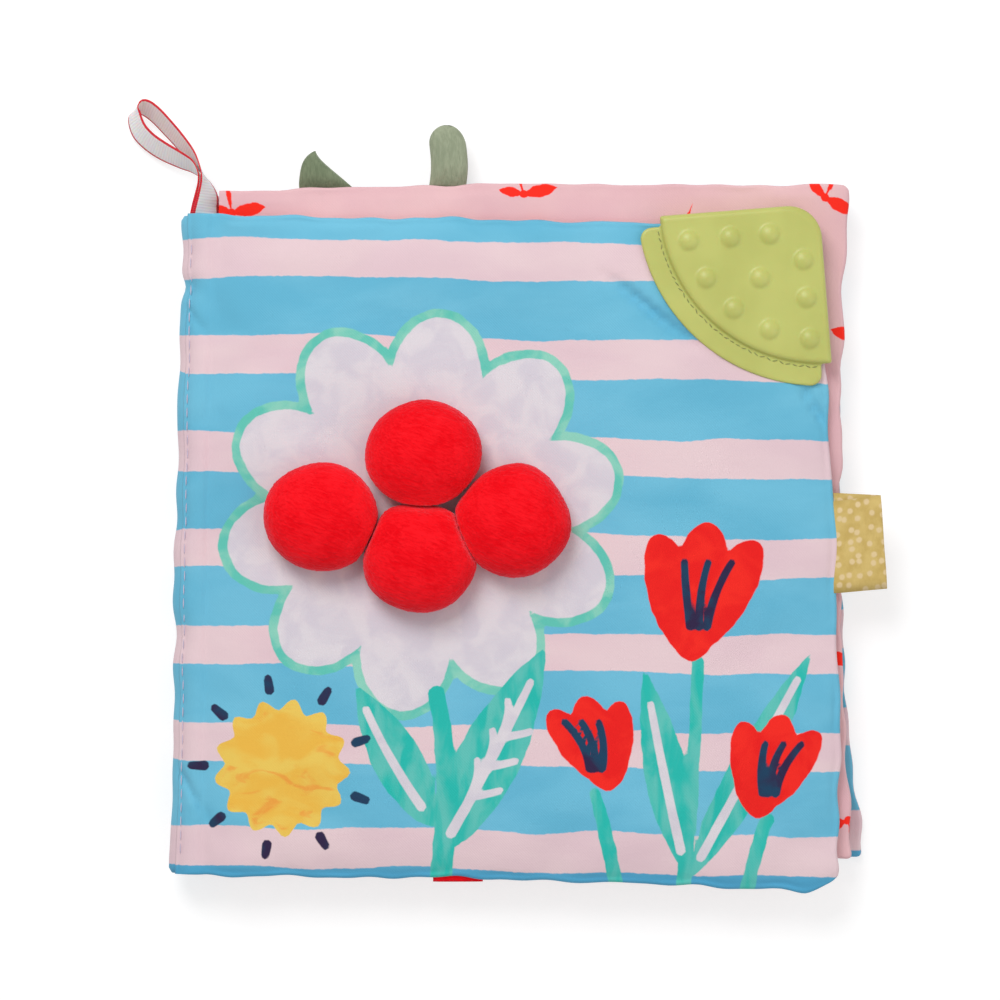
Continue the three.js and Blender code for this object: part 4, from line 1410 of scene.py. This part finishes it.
def tab_rings(name, inset, sides=48, count=40):
    """Rings of a plush tab from its root in the seam to its tip."""
    tab = TABS[name]
    low, high = box_of(name)
    middle_z = (low[2] + high[2]) / 2
    length = high[1] - low[1] + FABRIC - inset
    angle = whole_turn(sides)
    rings = []
    for index in range(count):
        share = 1 - (1 - index / count) ** TAB_CROWDING
        taper = max(0, (share - 1 + tab.taper) / tab.taper)
        left = tab.half * (1 - taper**tab.power) ** (1 / tab.power)
        right = tab.half * (1 - taper) ** tab.hollow if tab.hollow else left
        swell = math.sin(min(share / TAB_SWELL_SHARE, 1) * math.pi / 2)
        thick = TAB_ROOT_THICKNESS + (TAB_THICKNESS - TAB_ROOT_THICKNESS) * swell
        deep = thick / 2 * math.sqrt(1 - share**4) * (1 - 2 * inset / TAB_THICKNESS)
        reach = np.where(np.cos(angle) > 0, left, right) * (1 - inset / tab.half)
        sway = tab.lean * (1 - (1 - share) ** 2) + TAB_SWAY * math.sin(5 * share)
        x = tab.x + sway - reach * np.cos(angle)
        z = middle_z + deep * np.sin(angle) + TAB_LIFT * math.sin(4 * share)
        rings.append(np.stack([x, np.full(sides, low[1] + length * share), z], axis=1))
    rings = np.array(rings)
    fold = bell(rings[..., 0] - tab.x, TAB_FOLD_WIDTH) * (rings[..., 2] > middle_z)
    rings[..., 2] -= tab.fold * fold * smooth_step((rings[..., 1] - low[1]) / TAB_FOLD_START)
    return rings


def make_tabs():
    for name, tab in TABS.items():
        skin, fibre = tab_rings(name, 0), tab_rings(name, TAB_SKIN, 24, 14)
        make_stuffed(name, "velour", skin, fibre, tab.finish, tab.body)


# Teether, in a frame of its own with its outer corner at the origin and its arc towards -X and -Y

TEETHER_CORNER = (92.1, 104.9)
TEETHER_TILT = math.radians(5.5)
TEETHER_RADIUS = 48
TEETHER_CORNER_RADIUS = 10
TEETHER_END_CORNER = 0.7
TEETHER_BEVEL = 1.6
TEETHER_TOP_Z = COVER_TOP_Z + GAP + 3
RIM_WIDTH = 6.7
RIM_INSET = 3.2
RIM_CORNER_RADIUS = 4
RIM_END_CORNER = 3.4
RIM_BEVEL = 0.5
RIM_TOP_Z = COVER_TOP_Z + GAP + 1.2
PLATE_GAP = 0.25  # from the cover up to the underside of plate and rim
# The pocket's wall, and the lip that reaches from it under the cover
WALL = 1.4
WALL_TOP_Z = 22.0
WALL_END = 0.5  # how far the wall stops short of the plate's ends
WALL_STRAIGHT = 14  # how far before the corner the wall has one more section
RETURN_REACH = 5.5
RETURN_THICKNESS = 0.75
RETURN_ROOT_THICKNESS = 1.35
RETURN_DROP = 0.15  # how far its underside lies below the cover's
BUMP_RADIUS = 3.1
BUMP_HEIGHT = 1.35
BUMP_ROOT = -0.6  # how deep it starts in the plate
BUMP_CROWN = (1.3, 0.58)  # the two powers of its round profile
BUMP_TIP = 0.02
BUMP_ROWS = ((0.367, 2), (0.596, 3), (0.848, 5))  # share of the radius, and bumps on it
BUMP_MARGINS = (8.1, 6.1)  # from the end bumps of a row to the two straight edges
VOXEL = 0.34


def place_on_teether(points):
    return turned_about_z(points, TEETHER_TILT, TEETHER_CORNER)


def quarter_outline(radius, corner, inset, end_corner):
    """A quarter disc about the origin, towards -X and -Y, with round corners."""
    lean = math.asin((inset + end_corner) / (radius - end_corner))
    reach = (radius - end_corner) * math.cos(lean)
    near = -inset - end_corner
    inner = -inset - corner
    bends = (
        ((-reach, near), end_corner, math.pi / 2, math.pi + lean, 8),
        ((0, 0), radius, math.pi + lean, 1.5 * math.pi - lean, 48),
        ((near, -reach), end_corner, 1.5 * math.pi - lean, 2 * math.pi, 8),
        ((inner, inner), corner, 0, math.pi / 2, 13),
    )
    points = []
    for (x, y), size, start, end, count in bends:
        for angle in np.linspace(start, end, count):
            points.append((x + size * math.cos(angle), y + size * math.sin(angle)))
    return np.array(points)


def plate_rings(radius, corner, inset, end_corner, high, bevel):
    """Outlines stacked from the bottom of a plate to its top, with a rounded upper edge."""
    levels = [(0, COVER_TOP_Z + PLATE_GAP), (0, high - bevel)]
    for angle in np.linspace(0, math.pi / 2, 6)[1:]:
        levels.append((bevel * (1 - math.cos(angle)), high - bevel + bevel * math.sin(angle)))
    rings = []
    for shrink, z in levels:
        outline = quarter_outline(radius - shrink, corner, inset + shrink, end_corner)
        rings.append(np.column_stack([outline, np.full(len(outline), z)]))
    return place_on_teether(rings)


def wall_path(inset):
    """A line along the teether's two straight edges and round its corner."""
    corner = TEETHER_CORNER_RADIUS - inset
    centre = -inset - corner
    bend = [
        (centre + corner * math.cos(angle), centre + corner * math.sin(angle))
        for angle in np.linspace(math.pi / 2, 0, 9)
    ]
    end = -TEETHER_RADIUS + WALL_END
    straight = centre - WALL_STRAIGHT
    return np.array([(end, -inset), (straight, -inset), *bend, (-inset, straight), (-inset, end)])


def wall_sections():
    """The wall and the return lip that pocket the cover's corner, as sections along its edges."""
    low = COVER_TOP_Z - LEAF_THICKNESS - RETURN_DROP
    corners = (
        (0, low),
        (RETURN_REACH, low),
        (RETURN_REACH, low + RETURN_THICKNESS),
        (WALL, low + RETURN_ROOT_THICKNESS),
        (WALL, WALL_TOP_Z),
        (0, WALL_TOP_Z),
    )
    lines = [np.insert(wall_path(inset), 2, z, axis=1) for inset, z in corners]
    return place_on_teether(np.stack(lines, axis=1)[:, ::-1])


def bump_rings(x, y):
    """A low round bump on the teether's face."""
    turn = whole_turn(28)
    rings = []
    for rise in (BUMP_ROOT, 0, *np.linspace(0.1, 1, 7)):
        share = max(rise, 0)
        reach = BUMP_RADIUS * (1 - share ** BUMP_CROWN[0]) ** BUMP_CROWN[1] + BUMP_TIP
        z = np.full(len(turn), TEETHER_TOP_Z + BUMP_HEIGHT * share + min(rise, 0))
        rings.append(np.column_stack([x + reach * np.cos(turn), y + reach * np.sin(turn), z]))
    return place_on_teether(rings)


def bump_places():
    places = []
    for share, count in BUMP_ROWS:
        radius = share * TEETHER_RADIUS
        first, last = math.asin(BUMP_MARGINS[0] / radius), math.acos(BUMP_MARGINS[1] / radius)
        for angle in np.linspace(first, last, count):
            places.append((-radius * math.cos(angle), -radius * math.sin(angle)))
    return places


def make_teether():
    """The teether's plate, rim, lip and bumps, melted into one soft-edged solid."""
    rim_radius = TEETHER_RADIUS + RIM_WIDTH
    lofts = [
        plate_rings(
            TEETHER_RADIUS, TEETHER_CORNER_RADIUS, 0, TEETHER_END_CORNER, TEETHER_TOP_Z, TEETHER_BEVEL,
        ),
        plate_rings(rim_radius, RIM_CORNER_RADIUS, RIM_INSET, RIM_END_CORNER, RIM_TOP_Z, RIM_BEVEL),
        wall_sections(),
        *[bump_rings(x, y) for x, y in bump_places()],
    ]
    rough = join_lofts("teether_rough", lofts, "silicone")
    remesh = rough.modifiers.new("fuse", "REMESH")
    remesh.mode = "VOXEL"
    remesh.voxel_size = VOXEL * MM
    smooth = rough.modifiers.new("soften", "SMOOTH")
    smooth.factor = 0.5
    smooth.iterations = 5
    mesh = evaluated_copy(rough)
    bpy.data.objects.remove(rough)
    mesh.name = "corner_teether_silicone"
    piece = smooth_piece("corner_teether_silicone", mesh)
    dress(piece, "front_cover", ["corner_teether"])


RIM_STITCHES = 34
RIM_STITCH_LENGTH = 1.5
RIM_THREAD_RADIUS = 0.17
RIM_STITCH_LEAN = 0.35
RIM_STITCH_GAP = 1  # from the plate, and from the rim's two ends
RIM_STITCH_LIFT = 0.08


def make_rim_stitches():
    """Stitches that hold the teether's rim to the cloth, along its arc."""
    random = np.random.default_rng(81)
    radius = TEETHER_RADIUS + RIM_STITCH_GAP
    first = math.asin((RIM_INSET + RIM_STITCH_GAP) / radius)
    stitches = []
    for index in range(RIM_STITCHES):
        angle = math.pi + first + (math.pi / 2 - 2 * first) * (index + 0.5) / RIM_STITCHES
        lean = random.uniform(-RIM_STITCH_LEAN, RIM_STITCH_LEAN)
        ends = []
        for side in (-1, 1):
            turn = angle + side * RIM_STITCH_LENGTH / 2 / radius
            reach = radius + side * lean
            ends.append((reach * math.cos(turn), reach * math.sin(turn), RIM_TOP_Z + RIM_STITCH_LIFT))
        stitches.append(capsule(*place_on_teether(ends), RIM_THREAD_RADIUS))
    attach(join_lofts("teether_rim_stitches", stitches, "olive_thread"), "front_cover")


# Ribbons

SELVAGE_THINNING = 0.75  # how much thinner a ribbon is at its very edges, as a share


def strip_piece(name, middles, widths, width, thickness, finish, columns=9):
    """A flat ribbon along a line of middles, with the way across it at each, and its length."""
    normals = np.cross(np.gradient(middles, axis=0), widths)
    normals /= np.linalg.norm(normals, axis=1)[:, None]
    across = np.linspace(-width / 2, width / 2, columns)
    half = thickness / 2 * np.sqrt(1 - SELVAGE_THINNING * np.abs(np.linspace(-1, 1, columns)) ** 6)
    centre = middles[:, None] + across[None, :, None] * widths[:, None]
    raised = half[None, :, None] * normals[:, None]
    rings = np.concatenate([centre + raised, (centre - raised)[:, ::-1]], axis=1)
    piece = join_lofts(name, [rings[:, ::-1]], finish)
    along = running_length(middles)
    around = np.concatenate([across, across[::-1]])[::-1]
    store_place(piece, np.tile(around, len(along)), np.repeat(along, len(around)))
    return piece, along[-1]


RIBBON_THICKNESS = 0.5
# Where the hanging ribbon's middle line runs, and which way its front edge lies from there
RIBBON_ROUTE = (
    (-92.6, 97.6, 11.0, -0.8, 0.0, 0.6),
    (-92.3, 101.0, 11.1, -0.68, 0.0, 0.73),
    (-91.9, 105.0, 11.1, -0.56, 0.02, 0.83),
    (-92.6, 109.2, 10.9, -0.24, 0.08, 0.97),
    (-94.4, 112.8, 10.5, 0.04, 0.14, 0.98),
    (-96.7, 116.3, 9.8, 0.2, 0.23, 0.95),
    (-99.6, 119.8, 8.9, 0.28, 0.27, 0.92),
    (-103.8, 124.5, 7.8, 0.31, 0.3, 0.9),
    (-108.9, 129.6, 6.8, 0.33, 0.32, 0.89),
    (-112.6, 131.5, 6.3, 0.36, 0.34, 0.87),
    (-114.8, 129.6, 6.1, 0.38, 0.36, 0.85),
    (-113.6, 124.9, 6.2, 0.38, 0.38, 0.84),
    (-110.6, 121.4, 6.5, 0.34, 0.4, 0.85),
    (-106.4, 118.5, 7.1, 0.3, 0.42, 0.86),
    (-100.7, 115.6, 8.3, 0.18, 0.4, 0.9),
    (-96.9, 113.7, 9.2, 0.1, 0.3, 0.95),
    (-94.7, 111.4, 10.0, -0.04, 0.16, 0.98),
    (-93.4, 108.6, 10.4, -0.26, 0.06, 0.96),
    (-92.9, 105.0, 10.5, -0.52, 0.02, 0.85),
    (-93.1, 101.0, 10.4, -0.68, 0.0, 0.73),
    (-93.2, 97.6, 10.2, -0.8, 0.0, 0.6),
)
SQUARING = 0.6  # how much of its slant along the line the ribbon's width gives up


def make_hanging_ribbon():
    """One strip from the seam, on its edge round the loop and back to the seam."""
    route = smooth_path(RIBBON_ROUTE, 130)
    middles, widths = route[:, :3], route[:, 3:]
    ahead = np.gradient(middles, axis=0)
    ahead /= np.linalg.norm(ahead, axis=1)[:, None]
    widths -= (widths * ahead).sum(1)[:, None] * ahead * SQUARING
    widths /= np.linalg.norm(widths, axis=1)[:, None]
    name = "hanging_ribbon_strip"
    piece, length = strip_piece(name, middles, widths, RIBBON_WIDTH, RIBBON_THICKNESS, "ribbon")
    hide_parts("hanging_ribbon_lower_end", "hanging_ribbon_upper_end", "hanging_ribbon_loop")
    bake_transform(piece)


TAG_WIDTH = 27.6
TAG_LENGTH = 14.2
TAG_HALF_GAP = 0.42
TAG_FLARE = 0.02  # how much wider it is at the fold
TAG_OFFSETS = (0.25, 1.25)  # at the seam: how far both plies are moved up, and each against the other
TAG_LEAN = 0.025
TAG_WAVE = 0.35
# The lower ply from the seam outward: how far out, and how far it lies below its half of the gap
TAG_PLY = ((-3.2, 0), (1.5, 0.35), (7, 0.3), (TAG_LENGTH - 0.8, 0))


def make_tag():
    """The folded tag: out from the seam, round the fold and back."""
    low, high = box_of("ribbon_tag")
    ply_line = [(out, -TAG_HALF_GAP - lower) for out, lower in TAG_PLY]
    fold = [(TAG_LENGTH - 0.25, -0.3), (TAG_LENGTH, 0), (TAG_LENGTH - 0.25, 0.3)]
    back = [(out, -up) for out, up in ply_line[::-1]]
    middles = smooth_path([(out, 0, up) for out, up in [*ply_line, *fold, *back]], 60)
    widths = np.tile([0.0, 1.0, 0.0], (len(middles), 1))
    piece, length = strip_piece("ribbon_tag_strip", middles, widths, TAG_WIDTH, RIBBON_THICKNESS, "tag")
    x, y, z = points_of(piece).T
    out_share = ramp(x, TAG_LENGTH)
    ply = np.clip(z / TAG_HALF_GAP, -1, 1)
    y = y * (1 + TAG_FLARE * out_share)
    y = y + (1 - out_share) * (TAG_OFFSETS[0] - TAG_OFFSETS[1] * ply)
    x = x + out_share * (TAG_WAVE * ripples(y, 0, 22, seed=91, count=3) - TAG_LEAN * y)
    z = z + TAG_WAVE * out_share * ripples(y, x, 24, seed=92, count=3)
    joint = joint_named("tag_hinge")
    points = np.column_stack([x, y, (low[2] + high[2]) / 2 + z])
    placed = turned_about_z(points, math.asin(joint["axis"][0]), np.array(joint["pos_m"]) / MM)
    piece.data.vertices.foreach_set("co", (placed * MM).ravel())
    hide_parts("ribbon_tag")
    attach(piece, "tag")


SLIVER_WIDTH = 15
SLIVER_THICKNESS = 0.7
SLIVER_ROUTE = ((-12.7, -89.3, 18.4), (-12.7, -94, 17.9), (-12.7, -97.5, 16.7), (-12.7, -100.6, 15.9))


def make_red_sliver():
    """A tongue of red cloth caught in the cover's bottom seam."""
    middles = smooth_path(SLIVER_ROUTE, 14)
    widths = np.tile([1.0, 0.02, 0.0], (len(middles), 1))
    piece, length = strip_piece("red_seam_sliver", middles, widths, SLIVER_WIDTH, SLIVER_THICKNESS, "red")
    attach(piece, "front_cover")


# Camera, lights and floor, in metres

MILLIMETRES_A_PIXEL = 0.3
CAMERA_PLACE = (-2.05, 14.37)  # in millimetres
CAMERA_ROLL = math.radians(1)
FLOOR_DROP = 0.3 * MM  # keeps the floor from flickering through the book's underside
WORLD_LIGHT = 0.45  # how bright the surroundings are as a light, where 1 is white
FLOOR_TONE = 0.48  # what the camera sees of the floor, with a glow added to it
FLOOR_GLOW = 0.62
FLOOR_BOUNCE = 0.82  # and how much light it gives back to the book


def make_camera():
    """The photograph's view: straight down, turned a degree, with 0.3 mm to a pixel."""
    frame_width = 1000 * MILLIMETRES_A_PIXEL * MM
    camera = bpy.data.cameras.new("camera")
    camera.lens = 190
    camera.sensor_width = 36
    distance = camera.lens / camera.sensor_width * frame_width
    rig = add_object("camera", camera)
    rig.location = (CAMERA_PLACE[0] * MM, CAMERA_PLACE[1] * MM, COVER_TOP_Z * MM + distance)
    rig.rotation_euler = (0, 0, CAMERA_ROLL)
    bpy.context.scene.camera = rig


def make_lamp(name, place, size, watts):
    """A soft square lamp that points at the book."""
    lamp = bpy.data.lights.new(name, "AREA")
    lamp.size = size
    lamp.energy = watts
    rig = add_object(name, lamp)
    rig.location = place
    rig.rotation_euler = (-rig.location.normalized()).to_track_quat("-Z", "Y").to_euler()


def grey(level):
    return (level, level, level, 1)


def make_world():
    """An even grey light that looks white to the camera."""
    paint = Paint("studio", bpy.data.worlds, "BACKGROUND", Strength=1.0)
    paint.join("Color", paint.mix(paint.seen(), grey(WORLD_LIGHT), grey(1)))
    bpy.context.scene.world = paint.owner


def make_floor():
    """A pale floor that looks white to the camera and still takes the object's shadow."""
    size = 3.0
    mesh = bpy.data.meshes.new("floor")
    corners = [(-size, -size, 0), (size, -size, 0), (size, size, 0), (-size, size, 0)]
    mesh.from_pydata(corners, [], [(0, 1, 2, 3)])
    floor = add_object("floor", mesh)
    floor.location.z = -FLOOR_DROP
    paint = Paint("floor", Roughness=1, Specular_IOR_Level=0, Emission_Color=grey(1))
    seen = paint.seen()
    paint.join("Base Color", paint.mix(seen, grey(FLOOR_BOUNCE), grey(FLOOR_TONE)))
    paint.join("Emission Strength", paint.times(seen, FLOOR_GLOW))
    mesh.materials.append(paint.owner)


make_camera()
make_world()
make_floor()
make_lamp("key", (-0.34, 0.72, 1.05), size=0.6, watts=9.4)
make_lamp("fill", (0.9, -0.25, 1.0), size=1.2, watts=3.9)
make_leaves()
make_spine()
make_topstitch()
make_balls()
make_tabs()
make_teether()
make_rim_stitches()
make_tag()
make_hanging_ribbon()
make_red_sliver()

bpy.context.scene.view_settings.view_transform = "Standard"
